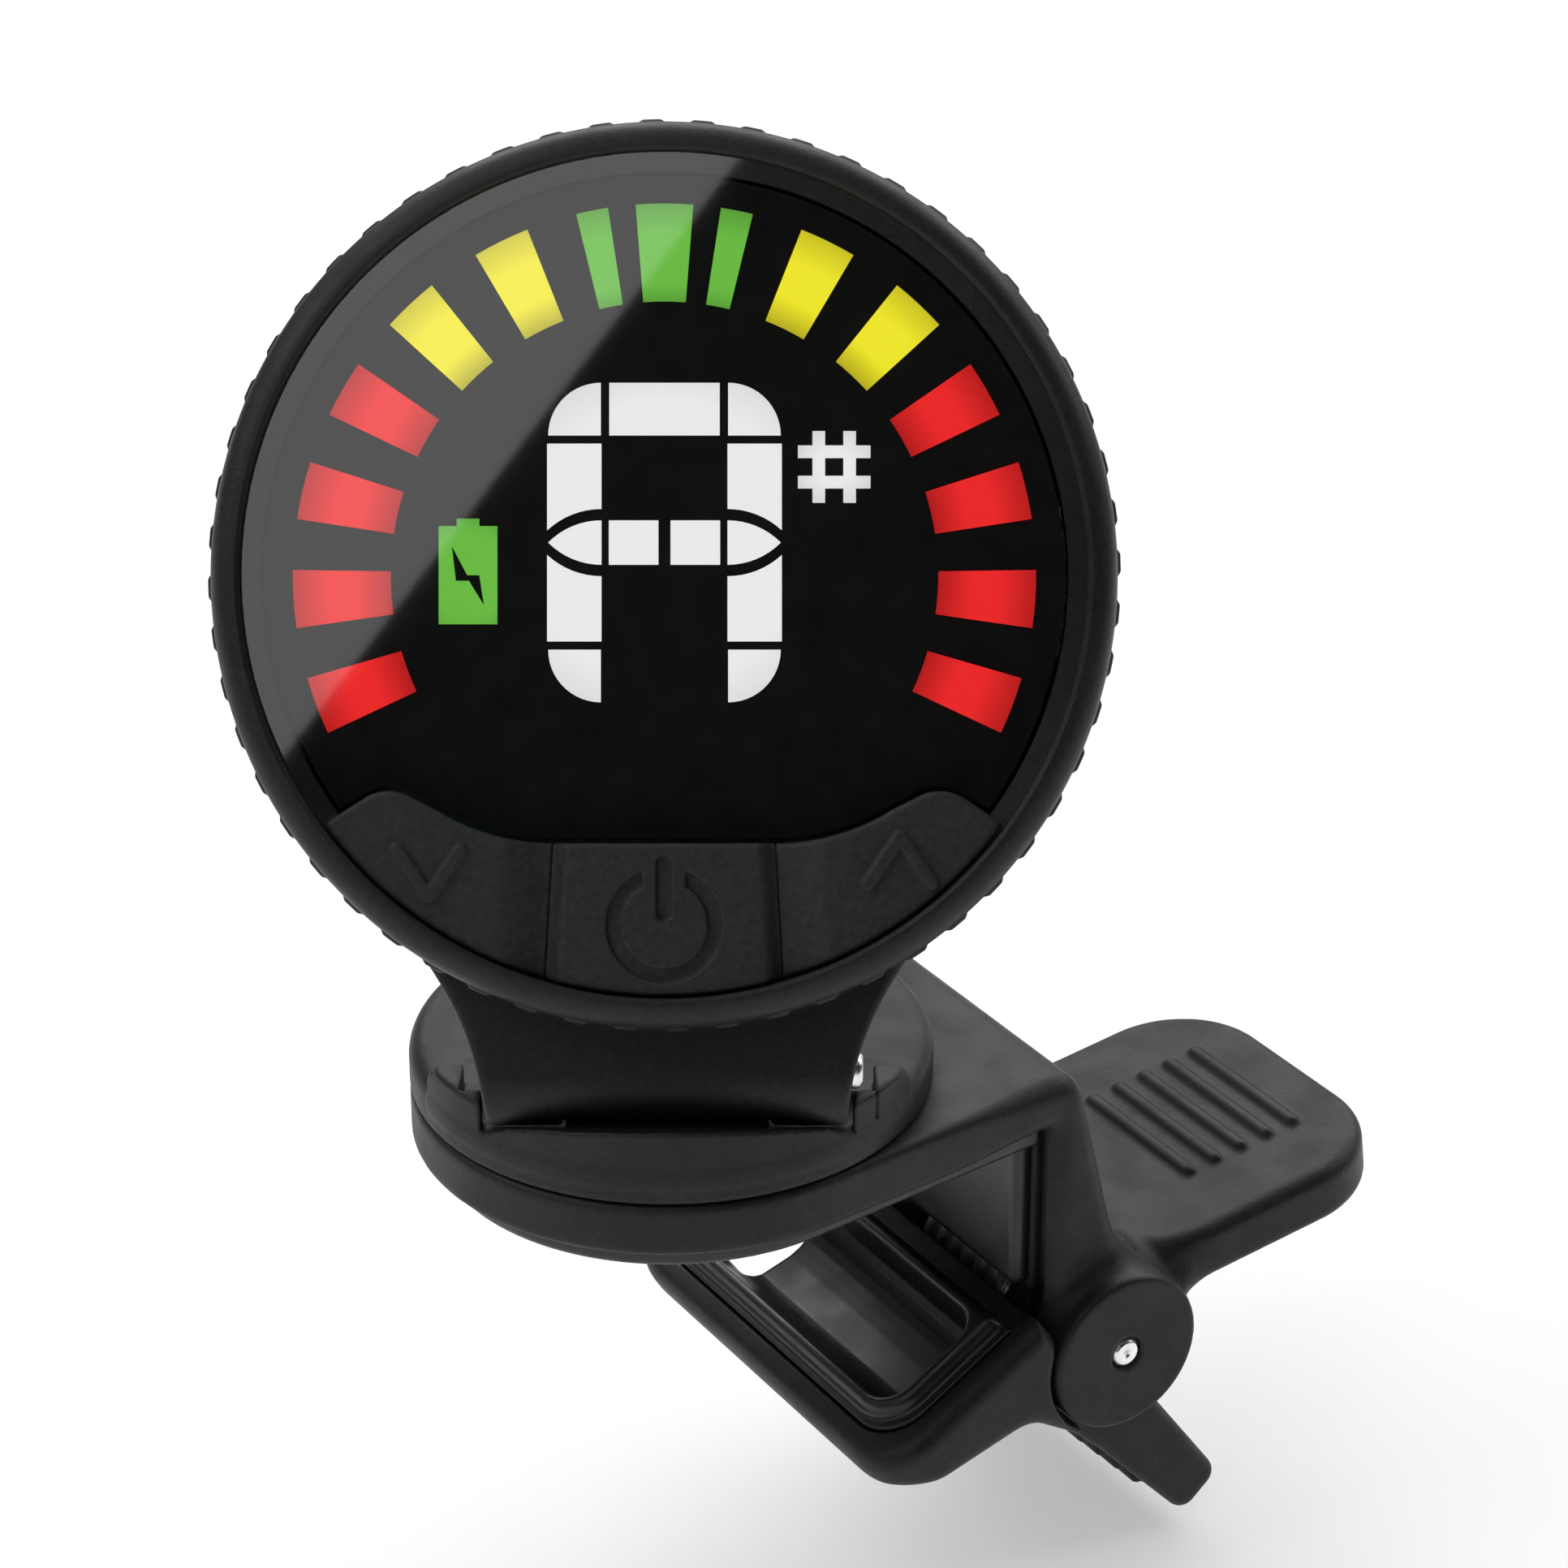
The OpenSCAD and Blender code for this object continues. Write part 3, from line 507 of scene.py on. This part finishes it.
turret_low, turret_high = box_mm("turret")
turret_r = (turret_high.x - turret_low.x) / 2
turret_z = plate_top + 0.12
turret_top = plate_top + 2.4
block_top = turret_top + 1.17
tilt_local = Vector((0, -8.0, tilt.z))
block_points = (
    arc(12.6, turret_top + 1.25, 1.25, 270, 200, 6)
    + arc(10.9, block_top - 0.3, 0.3, 20, 90, 3)
    + arc(-10.9, block_top - 0.3, 0.3, 90, 160, 3)
    + arc(-12.6, turret_top + 1.25, 1.25, -20, -90, 6)
    + [(-12.6, turret_top - 1.5), (12.6, turret_top - 1.5)]
)
barrel_r = 2.6
lug_r = 1.7
lug_half_w = 4.75
stem_front = 0.9
tilt_pin_r = 0.9
neck_half_w = 8.5
lip_half_w = neck_half_w + 0.25
flare_half_w = lug_half_w + 5
lean = acos(up.z)


def turret(x, y, z):
    radius = np.sqrt(x * x + y * y)
    rim = radius - turret_r
    base = both(both(rim, z - turret_top, 0.95), turret_z - z, 0.18)
    ty, tz = y - tilt_local.y, z - tilt_local.z
    rise = ty * sin(lean) + tz * cos(lean)
    depth = tz * sin(lean) - ty * cos(lean)
    block = both(outline(x, z, block_points), slab(y, -13.4, -5.4), 0.35)
    lip = both(rise + barrel_r + 0.03, np.abs(x) - lip_half_w)
    lip = both(both(lip, -depth), turret_top - 1 - z)
    block = both(np.minimum(block, lip), rim, 0.22)
    base = either(base, block, 0.2)
    barrel = disc(ty, tz, barrel_r + 0.3)
    cradle = both(barrel, np.abs(x) - lip_half_w)
    flare = both(both(barrel, np.abs(x) - flare_half_w), -ty)
    behind = both(both(slab(ty, lug_r, lug_r + 3), turret_top - z), np.abs(x) - flare_half_w)
    front = both(both(-barrel_r - 0.03 - rise, -1 - depth), np.abs(x) - lip_half_w)
    cuts = np.minimum(np.minimum(cradle, flare), np.minimum(behind, front))
    base = less(base, cuts, 0.15)
    stub = both(radius - 2.6, slab(z, plate_top - 1.5, plate_top + 1))
    stem = np.maximum(slab(ty, -stem_front, lug_r), slab(tz, -4, 0))
    lug = np.minimum(disc(ty, tz, lug_r), stem)
    lug = both(lug, np.abs(x) - lug_half_w, 0.2)
    base = either(np.minimum(base, stub), lug, 0.15)
    base = less(base, disc(ty, tz, tilt_pin_r + 0.05), 0.1)
    return less(base, both(radius - 0.72, z - 5.5), 0.05)


swivel_top = new_object(
    "swivel_top", *skin(turret, (-13.2, -13.2, 2.2), (13.2, 13.2, turret_high.z + 0.5), 0.17),
    turret_frame, "swivel_base", "body_plastic", "turret")

# ---- Head: rear shell, bezel, keys and tilt pin ----

shell_r = 20.3
shell_back = -3.6
shell_wall = 1.2
bezel_back = 2.8
bezel_front = 6.5
bezel_r = 21.0
window_r = 19.4
socket_z = 0.1
post_x = 5.8
post_y = -14.8


def neck(x, y, z):
    """Flared neck; y is measured from the tilt axis."""
    half = neck_half_w + 0.044 * (y + barrel_r) ** 2
    slope = np.sqrt(1 + (0.088 * (y + barrel_r)) ** 2)
    side = (np.abs(x) - half) / slope
    bar = np.where(y < 0, np.sqrt(y * y + z * z), np.abs(z)) - barrel_r
    return both(both(side, bar, 0.3), y - 7.5)


def rear_shell(x, y, z):
    radius = np.sqrt(x * x + y * y)
    drum = both(both(radius - shell_r, shell_back - z, 2.6), z - bezel_back, 0.1)
    ty = y + head_rise
    body = either(drum, neck(x, ty, z), 0.8)
    room = both(radius - shell_r + shell_wall, shell_back + shell_wall - z, 1.5)
    posts = disc(np.abs(x), y, 1.5, post_x, post_y)
    posts = both(posts, z - 1.68)
    body = less(body, less(room, posts, 0.3), 0.1)
    body = less(body, both(disc(np.abs(x), y, 0.7, post_x, post_y), -0.6 - z), 0.05)
    bore = disc(ty, z, lug_r + 0.2)
    back = np.maximum(slab(ty, -barrel_r - 1, 1.9), z)
    under = np.maximum(slab(ty, -barrel_r - 1, 0), slab(z, -1, stem_front + 0.2))
    slot = both(np.minimum(np.minimum(bore, back), under), np.abs(x) - 4.9)
    body = less(body, slot, 0.12)
    body = less(body, disc(ty, z, tilt_pin_r + 0.03), 0.12)
    mouth = oblong(y, z - socket_z, 4.7, 1.8, 1.5)
    return less(body, both(mouth, 17.3 - x), 0.2)


head_shell = new_object(
    "head_shell", *skin(rear_shell, (-20.8, -26.2, -4.1), (20.8, 20.8, 3.3), 0.25),
    head_frame, "head", "body_plastic", "rear_shell")

knurls = 56
knurl_depth = 0.26
rim_r = 20.83


def knurl(share):
    """Radius between the valleys of the knurl and a share of its full height."""
    def radius(a):
        crest = max(-1.0, min(1.0, sin(a * knurls) * 1.9 + 0.2))
        return bezel_r - knurl_depth + share * knurl_depth * (1 + crest) / 2
    return radius


bezel_profile = (
    [(18.6, bezel_back), (18.6, 4.85), (window_r, 4.85), (window_r, bezel_front - 0.5)]
    + arc(window_r + 0.2, bezel_front - 0.3, 0.2, 180, 100, 4)
    + arc(rim_r - 1.35, bezel_front - 1.35, 1.35, 90, 5, 12)
    + [(rim_r - 0.05, 5.0), (knurl(0.75), 4.93), (knurl(1.0), 4.78)]
    + [(knurl(1.0), 3.3), (knurl(0.6), 3.05)]
    + [(rim_r - 0.2, bezel_back + 0.08), (rim_r - 0.35, bezel_back)]
)[::-1]
bezel = new_object(
    "bezel_knurled", *lathe(bezel_profile, knurls * 24),
    head_frame, "head", "bezel_plastic", "bezel_ring")

key_base = 5.2
key_top = 6.15
key_cell = 0.09
valley_depth = 0.62
seam_gap = 0.012
ring_y = -16.04
ring_half_w = 0.32
key_outline = (
    [(-3, -12.2)] + arc(5.1, -2.2, 10, -90, -57.7, 10)
    + arc(12.62, -11.96, 2.15, 122.3, 57.4, 10)
    + [(16.2, -11.71), (25, -11.71), (25, -26), (-3, -26)]
)


def key_area(x, y):
    """Distance to the area under the display, inside the bezel."""
    below = outline(np.abs(x), y, key_outline) + 0.1
    return both(below, disc(x, y, window_r - 0.1), 0.3)


def valley_distance(x, y):
    """Distance outward from the line between the middle key and a side key."""
    seam_lean = radians(3.25)
    return (np.abs(x) - 4.69) * cos(seam_lean) + (y + 5) * sin(seam_lean)


def press_pad(x, y, z, seam, top, stem_x, stem_y):
    """A key with soft edges round the keypad and a sharp one along its seam."""
    key = both(key_area(x, y), z - top, 0.25)
    key = both(both(key, seam), key_base - z, 0.1)
    stem = both(disc(x, y, 1.2, stem_x, stem_y), slab(z, 4.35, key_base + 0.5))
    return np.minimum(key, stem)


def side_key(side, ends):
    def field(x, y, z):
        past = valley_distance(x, y)
        top = key_top - valley_depth * (1 - smooth_step(past / 2.4))
        key = press_pad(x, y, z, both(seam_gap - past, -side * x), top, side * 10.0, -13.3)
        mark = both(stroke(x, y, ends, 0.3), z - key_top - 0.28, 0.1)
        mark = both(mark, key_top - 0.5 - z)
        return either(key, mark, 0.04)
    return field


def middle_key(x, y, z):
    past = -valley_distance(x, y)
    top = key_top - valley_depth * (1 - smooth_step(past / 0.8))
    key = press_pad(x, y, z, seam_gap - past, top, 0.0, -15.7)
    ring = np.abs(disc(x, y, 2.33, 0, ring_y)) - ring_half_w
    gap = np.maximum(np.abs(x) - 1.0, ring_y - y)
    ends = disc(np.abs(x), y, ring_half_w, 1.32, -14.12)
    ring = np.minimum(np.maximum(ring, -gap), ends)
    bar = stroke(x, y, [(0, -13.2), (0, -15.5)], 0.35)
    mark = both(np.minimum(ring, bar), key_top - 0.3 - z)
    return less(key, mark, 0.06)


down_key = new_object(
    "pad_down", *skin(side_key(-1, [(-12.2, -12.6), (-10.74, -14.75), (-9.28, -12.6)]),
                      (-17.8, -19.3, 4.2), (-4.4, -9.3, 6.5), key_cell),
    head_frame, "key_down", "key_rubber", "key_down")
up_key = new_object(
    "pad_up", *skin(side_key(1, [(9.35, -14.15), (10.81, -12.0), (12.27, -14.15)]),
                    (4.4, -19.3, 4.2), (17.8, -9.3, 6.5), key_cell),
    head_frame, "key_up", "key_rubber", "key_up")
power_key = new_object(
    "pad_power", *skin(middle_key, (-6, -19.7, 4.2), (6, -11.9, 6.5), key_cell),
    head_frame, "key_power", "key_rubber", "key_power")

along_right = axes_matrix(up, out, right, tilt)
tilt_low, tilt_high = -neck_half_w + 0.2, neck_half_w + 0.7
tilt_middle = (tilt_low + tilt_high) / 2
along_right = along_right @ Matrix.Translation((0, 0, tilt_middle))
tilt_rod = new_object(
    "tilt_rod", *lathe(pin_profile(tilt_pin_r, tilt_high - tilt_middle, 0.2), 72),
    along_right, "head", "pin_steel", "tilt_pin")

# ---- Materials ----


class Surface:
    """A material with a Principled shader and short ways to add nodes to it."""

    def __init__(self, name, colour, roughness, metallic=0.0, **sockets):
        self.material = bpy.data.materials.new(name)
        self.material.use_nodes = True
        self.tree = self.material.node_tree
        self.shader = self.tree.nodes["Principled BSDF"]
        self.shader.inputs["Base Color"].default_value = (*colour, 1)
        self.shader.inputs["Roughness"].default_value = roughness
        self.shader.inputs["Metallic"].default_value = metallic
        for socket, value in sockets.items():
            self.shader.inputs[socket.replace("_", " ")].default_value = value
        self.colour = colour
        coord = self.add("ShaderNodeTexCoord")
        scale = self.add("ShaderNodeVectorMath", operation="SCALE")
        scale.inputs["Scale"].default_value = 1 / MM
        self.join(coord.outputs["Object"], scale.inputs[0])
        self.place = scale.outputs[0]

    def add(self, kind, **settings):
        node = self.tree.nodes.new(kind)
        for key, value in settings.items():
            setattr(node, key, value)
        return node

    def join(self, start, end):
        self.tree.links.new(start, end)

    def noise(self, per_mm, detail=2.0, rough=0.5):
        node = self.add("ShaderNodeTexNoise")
        node.inputs["Scale"].default_value = per_mm
        node.inputs["Detail"].default_value = detail
        node.inputs["Roughness"].default_value = rough
        self.join(self.place, node.inputs["Vector"])
        return node.outputs[0]

    def spread(self, value, low, high, start=0.35, end=0.65):
        node = self.add("ShaderNodeMapRange")
        ends = {"From Min": start, "From Max": end, "To Min": low, "To Max": high}
        for socket, number in ends.items():
            node.inputs[socket].default_value = number
        self.join(value, node.inputs["Value"])
        return node.outputs[0]

    def vary_roughness(self, value, low, high):
        self.join(self.spread(value, low, high), self.shader.inputs["Roughness"])

    def tint(self, value, low, high):
        """Base colour between two multiples of the colour."""
        ramp = self.add("ShaderNodeValToRGB")
        ramp.color_ramp.elements[0].position = 0.3
        ramp.color_ramp.elements[1].position = 0.7
        ramp.color_ramp.elements[0].color = (*[c * low for c in self.colour], 1)
        ramp.color_ramp.elements[1].color = (*[c * high for c in self.colour], 1)
        self.join(value, ramp.inputs["Fac"])
        self.join(ramp.outputs["Color"], self.shader.inputs["Base Color"])

    def bump(self, value, height_mm):
        node = self.add("ShaderNodeBump")
        node.inputs["Strength"].default_value = 1.0
        node.inputs["Distance"].default_value = height_mm * MM
        self.join(value, node.inputs["Height"])
        self.join(node.outputs["Normal"], self.shader.inputs["Normal"])

    def dress(self, *objects):
        for thing in objects:
            thing.data.materials.clear()
            thing.data.materials.append(self.material)


def moulded_plastic(name, colour, roughness, grain):
    surface = Surface(name, colour, roughness, Specular_IOR_Level=0.27)
    fine = surface.noise(5.5, 3.0, 0.6)
    broad = surface.noise(0.35, 2.0)
    surface.tint(surface.noise(3.0, 2.0), 0.8, 1.25)
    surface.vary_roughness(broad, roughness - 0.04, roughness + 0.05)
    surface.bump(fine, grain)
    return surface


def soft_rubber(name, colour, roughness, grain):
    surface = Surface(name, colour, roughness)
    surface.tint(surface.noise(1.5, 3.0), 0.85, 1.15)
    surface.vary_roughness(surface.noise(0.5), roughness - 0.05, roughness + 0.06)
    surface.bump(surface.noise(11.0, 2.0), grain)
    return surface


def metal(name, colour, roughness, grain, stretch=(1, 1, 1)):
    surface = Surface(name, colour, roughness, metallic=1.0)
    stretched = surface.add("ShaderNodeVectorMath", operation="MULTIPLY")
    stretched.inputs[1].default_value = stretch
    surface.join(surface.place, stretched.inputs[0])
    surface.place = stretched.outputs[0]
    lines = surface.noise(5.0, 3.0)
    surface.vary_roughness(lines, roughness * 0.7, roughness * 1.4)
    surface.tint(surface.noise(0.8), 0.85, 1.05)
    surface.bump(lines, grain)
    return surface


moulding_colour = (0.014, 0.014, 0.0145)
black_plastic = moulded_plastic("moulded_black", moulding_colour, 0.5, 0.02)
bezel_black = moulded_plastic("bezel_black", moulding_colour, 0.46, 0.018)
key_black = moulded_plastic("key_black", (0.026, 0.026, 0.0265), 0.5, 0.01)
pad_black = soft_rubber("pad_black", (0.012, 0.012, 0.0125), 0.36, 0.004)
polished = metal("pin_metal", (0.95, 0.95, 0.95), 0.28, 0.001)
spring_metal = metal("spring_metal", (0.80, 0.79, 0.74), 0.45, 0.004, (1, 6, 1))

black_plastic.dress(arm, jaw, swivel_top, head_shell)
bezel_black.dress(bezel)
key_black.dress(down_key, up_key, power_key)
pad_black.dress(plate_pad, jaw_pad)
polished.dress(hinge_rod, tilt_rod)
spring_metal.dress(spring)

nodes = frame["nodes"]
head_inverse = head_frame.inverted()


def add_local(thing):
    """Stores each corner's place in the head's own axes, in millimetres."""
    mesh = thing.data
    places = np.zeros(len(mesh.vertices) * 3)
    mesh.vertices.foreach_get("co", places)
    turn = np.array(head_inverse)
    local = places.reshape(-1, 3) @ turn[:3, :3].T + turn[:3, 3]
    attribute = mesh.attributes.new("local", "FLOAT_VECTOR", "POINT")
    attribute.data.foreach_set("vector", local.ravel())


def lit_film(name, colour, node, glow_field):
    """Lit display film; glow_field adds nodes that give its brightness over the face."""
    surface = Surface(name, colour, 0.5, Specular_IOR_Level=0.05)
    add_local(nodes[node])
    local = surface.add("ShaderNodeAttribute", attribute_name="local")
    glow = glow_field(surface, local.outputs["Vector"])
    ramp = surface.add("ShaderNodeValToRGB")
    ramp.color_ramp.elements[0].color = (*[c * 0.22 for c in colour], 1)
    ramp.color_ramp.elements[1].color = (*colour, 1)
    surface.join(glow, ramp.inputs["Fac"])
    surface.join(ramp.outputs["Color"], surface.shader.inputs["Emission Color"])
    surface.shader.inputs["Emission Strength"].default_value = 0.95
    surface.shader.inputs["Base Color"].default_value = (*[c * 0.2 for c in colour], 1)
    surface.dress(nodes[node])


def length_of(surface, vector):
    node = surface.add("ShaderNodeVectorMath", operation="LENGTH")
    surface.join(vector, node.inputs[0])
    return node.outputs["Value"]


def flatten(surface, vector):
    """Drops the height, so that only the place on the display is left."""
    node = surface.add("ShaderNodeVectorMath", operation="MULTIPLY")
    node.inputs[1].default_value = (1, 1, 0)
    surface.join(vector, node.inputs[0])
    return node.outputs[0]


def bar_glow(dark_in, bright_in, bright_out, dark_out):
    """Bright in the middle of a radial bar, dimmer at its inner and outer ends."""
    def field(surface, local):
        radius = length_of(surface, flatten(surface, local))
        rise = surface.spread(radius, 0, 1, dark_in, bright_in)
        fall = surface.spread(radius, 1, 0, bright_out, dark_out)
        least = surface.add("ShaderNodeMath", operation="MINIMUM")
        surface.join(rise, least.inputs[0])
        surface.join(fall, least.inputs[1])
        return least.outputs[0]
    return field


def spot_glow(x, y, bright_r, dark_r):
    """Bright round one place, dimmer with distance from it."""
    def field(surface, local):
        moved = surface.add("ShaderNodeVectorMath", operation="SUBTRACT")
        moved.inputs[1].default_value = (x, y, 0)
        surface.join(local, moved.inputs[0])
        distance = length_of(surface, flatten(surface, moved.outputs[0]))
        return surface.spread(distance, 1, 0, bright_r, dark_r)
    return field


lit_film("film_red", (0.86, 0.024, 0.024), "meter_red", bar_glow(11.8, 14.2, 15.4, 18.2))
lit_film("film_yellow", (0.90, 0.82, 0.028), "meter_yellow", bar_glow(12.0, 13.9, 15.6, 19.0))
lit_film("film_green", (0.15, 0.51, 0.06), "meter_green", bar_glow(11.6, 13.4, 15.8, 19.0))
lit_film("film_white", (0.86, 0.86, 0.86), "note_segments", spot_glow(0, 1.5, 6.5, 16.0))
lit_film("film_sharp", (0.86, 0.86, 0.86), "sharp_segment", spot_glow(7.8, 5.0, 0.8, 5.0))
lit_film("film_battery", (0.15, 0.51, 0.06), "battery_segment", spot_glow(-9.0, 0, 1.9, 4.5))

mask_black = Surface("mask_black", (0.011, 0.011, 0.011), 0.5, Specular_IOR_Level=0.03)
mask_black.tint(mask_black.noise(0.6), 0.8, 1.1)
mask_black.dress(nodes["display_mask"])


def clear_lens():
    surface = Surface("lens_clear", (0.02, 0.02, 0.02), 0.03)
    tree = surface.tree
    clear = surface.add("ShaderNodeBsdfTransparent")
    gloss = surface.add("ShaderNodeBsdfGlossy")
    gloss.inputs["Roughness"].default_value = 0.03
    gloss.inputs["Color"].default_value = (1, 1, 1, 1)
    fresnel = surface.add("ShaderNodeFresnel")
    fresnel.inputs["IOR"].default_value = 1.9
    geometry = surface.add("ShaderNodeNewGeometry")
    front_only = surface.add("ShaderNodeMath", operation="SUBTRACT", use_clamp=True)
    surface.join(fresnel.outputs[0], front_only.inputs[0])
    surface.join(geometry.outputs["Backfacing"], front_only.inputs[1])
    mix = surface.add("ShaderNodeMixShader")
    surface.join(front_only.outputs[0], mix.inputs["Fac"])
    surface.join(clear.outputs[0], mix.inputs[1])
    surface.join(gloss.outputs[0], mix.inputs[2])
    tree.nodes.remove(surface.shader)
    end = tree.nodes["Material Output"]
    surface.join(mix.outputs[0], end.inputs["Surface"])
    surface.dress(nodes["display_lens"])


clear_lens()

inner_steel = metal("inner_steel", (0.62, 0.62, 0.64), 0.3, 0.002, (4, 1, 1))
brass = metal("sensor_brass", (0.75, 0.55, 0.22), 0.3, 0.002)
foil = metal("cell_foil", (0.62, 0.63, 0.66), 0.38, 0.02)
inner_steel.dress(nodes["swivel_washer"], nodes["swivel_screw"],
                  nodes["charge_socket"], nodes["board_screws"])
brass.dress(nodes["vibration_sensor"])
foil.dress(nodes["battery_cell"])
chip = moulded_plastic("chip_black", (0.02, 0.02, 0.021), 0.6, 0.006)
chip.dress(nodes["tuner_chip"], nodes["tact_switches"])
guide = soft_rubber("guide_white", (0.8, 0.8, 0.77), 0.3, 0.003)
guide.dress(nodes["light_guide"])
board = soft_rubber("board_green", (0.015, 0.13, 0.05), 0.3, 0.01)
board.dress(nodes["circuit_board"])

# ---- Floor, camera and lights ----

floor_gap = 0.3 * MM
floor_z = cad_bounds[0][2] - floor_gap
floor_half = 12.0
floor_mesh = bpy.data.meshes.new("floor")
floor_mesh.from_pydata(
    [(-floor_half, -floor_half, floor_z), (floor_half, -floor_half, floor_z),
     (floor_half, floor_half, floor_z), (-floor_half, floor_half, floor_z)],
    [], [(0, 1, 2, 3)])
floor = bpy.data.objects.new("floor", floor_mesh)
bpy.context.scene.collection.objects.link(floor)
paper = Surface("floor_pale", (0.62, 0.62, 0.62), 0.8)
paper.tint(paper.noise(0.02, 2.0), 0.99, 1.01)
paper.shader.inputs["Emission Color"].default_value = (1, 1, 1, 1)
paper.shader.inputs["Emission Strength"].default_value = 0.45
paper.dress(floor)

aim = Vector((0, 0, plate_top)) * MM
camera_data = bpy.data.cameras.new("camera")
camera_data.lens = 106.8
camera_data.sensor_width = 36
camera_data.clip_start = 0.01
camera = bpy.data.objects.new("camera", camera_data)
bpy.context.scene.collection.objects.link(camera)
camera_distance = 0.228
camera_shift_right = 0.0055
camera_shift_up = 0.014
camera.location = aim + out * camera_distance + right * camera_shift_right + up * camera_shift_up
camera.rotation_euler = Matrix((right, up, out)).transposed().to_euler()
bpy.context.scene.camera = camera


def area_light(name, place, target, size_x, size_y, radiance, twist=None):
    """A rectangle of even light; radiance sets how bright its face looks."""
    data = bpy.data.lights.new(name, "AREA")
    data.shape = "RECTANGLE"
    data.size = size_x
    data.size_y = size_y
    data.energy = radiance * pi * size_x * size_y
    light = bpy.data.objects.new(name, data)
    bpy.context.scene.collection.objects.link(light)
    back = (place - target).normalized()
    side = twist if twist is not None else z_up.cross(back)
    side = (side - back * side.dot(back)).normalized()
    light.location = place
    light.rotation_euler = Matrix((side, back.cross(side), back)).transposed().to_euler()


centre = (Vector(cad_bounds[0]) + Vector(cad_bounds[1])) / 2
flat_back = z_up.cross(right)
area_light("top_light", centre + Vector((0, 0, 0.55)) - right * 0.28 + flat_back * 0.15,
           centre, 1.1, 0.9, 1.0)
area_light("back_light", centre + flat_back * 0.62 + right * 0.1 + Vector((0, 0, 0.42)),
           centre, 0.9, 0.45, 3.0)
area_light("side_light", centre + right * 0.55 + flat_back * 0.25 + Vector((0, 0, 0.4)),
           centre, 0.4, 0.5, 2.2)
area_light("front_light", centre + out * 0.36 - right * 0.42 + up * 0.3,
           centre, 0.22, 0.22, 3.2)

# A softbox beside the camera, whose straight edge runs from glare_from to glare_to. The lens
# reflects it as the pale area with a slanting edge.
glare_from = camera.location + right * -0.0036 + up * 0.0579
glare_to = camera.location + right * -0.0462 + up * 0.002
along = (glare_to - glare_from).normalized()
inward = out.cross(along)
if inward.dot(right) > 0:
    inward = -inward
glare_depth = 0.09
glare_place = (glare_from + glare_to) / 2 + inward * (glare_depth / 2)
area_light("glare_light", glare_place, glare_place - out, 0.26, glare_depth, 0.9, twist=along)

world = bpy.data.worlds.new("studio")
world.use_nodes = True
sky = world.node_tree
coord = sky.nodes.new("ShaderNodeTexCoord")
toward = sky.nodes.new("ShaderNodeVectorMath")
toward.operation = "DOT_PRODUCT"
toward.inputs[1].default_value = (flat_back * 0.74 + z_up * 0.62 + right * 0.1).normalized()
sky.links.new(coord.outputs["Generated"], toward.inputs[0])
ramp = sky.nodes.new("ShaderNodeMapRange")
ramp.interpolation_type = "SMOOTHSTEP"
for socket, number in (("From Min", -0.3), ("From Max", 0.75), ("To Min", 0.025), ("To Max", 1.1)):
    ramp.inputs[socket].default_value = number
sky.links.new(toward.outputs["Value"], ramp.inputs["Value"])
sky.links.new(ramp.outputs[0], sky.nodes["Background"].inputs["Strength"])
bpy.context.scene.world = world
bpy.context.scene.view_settings.view_transform = "Standard"
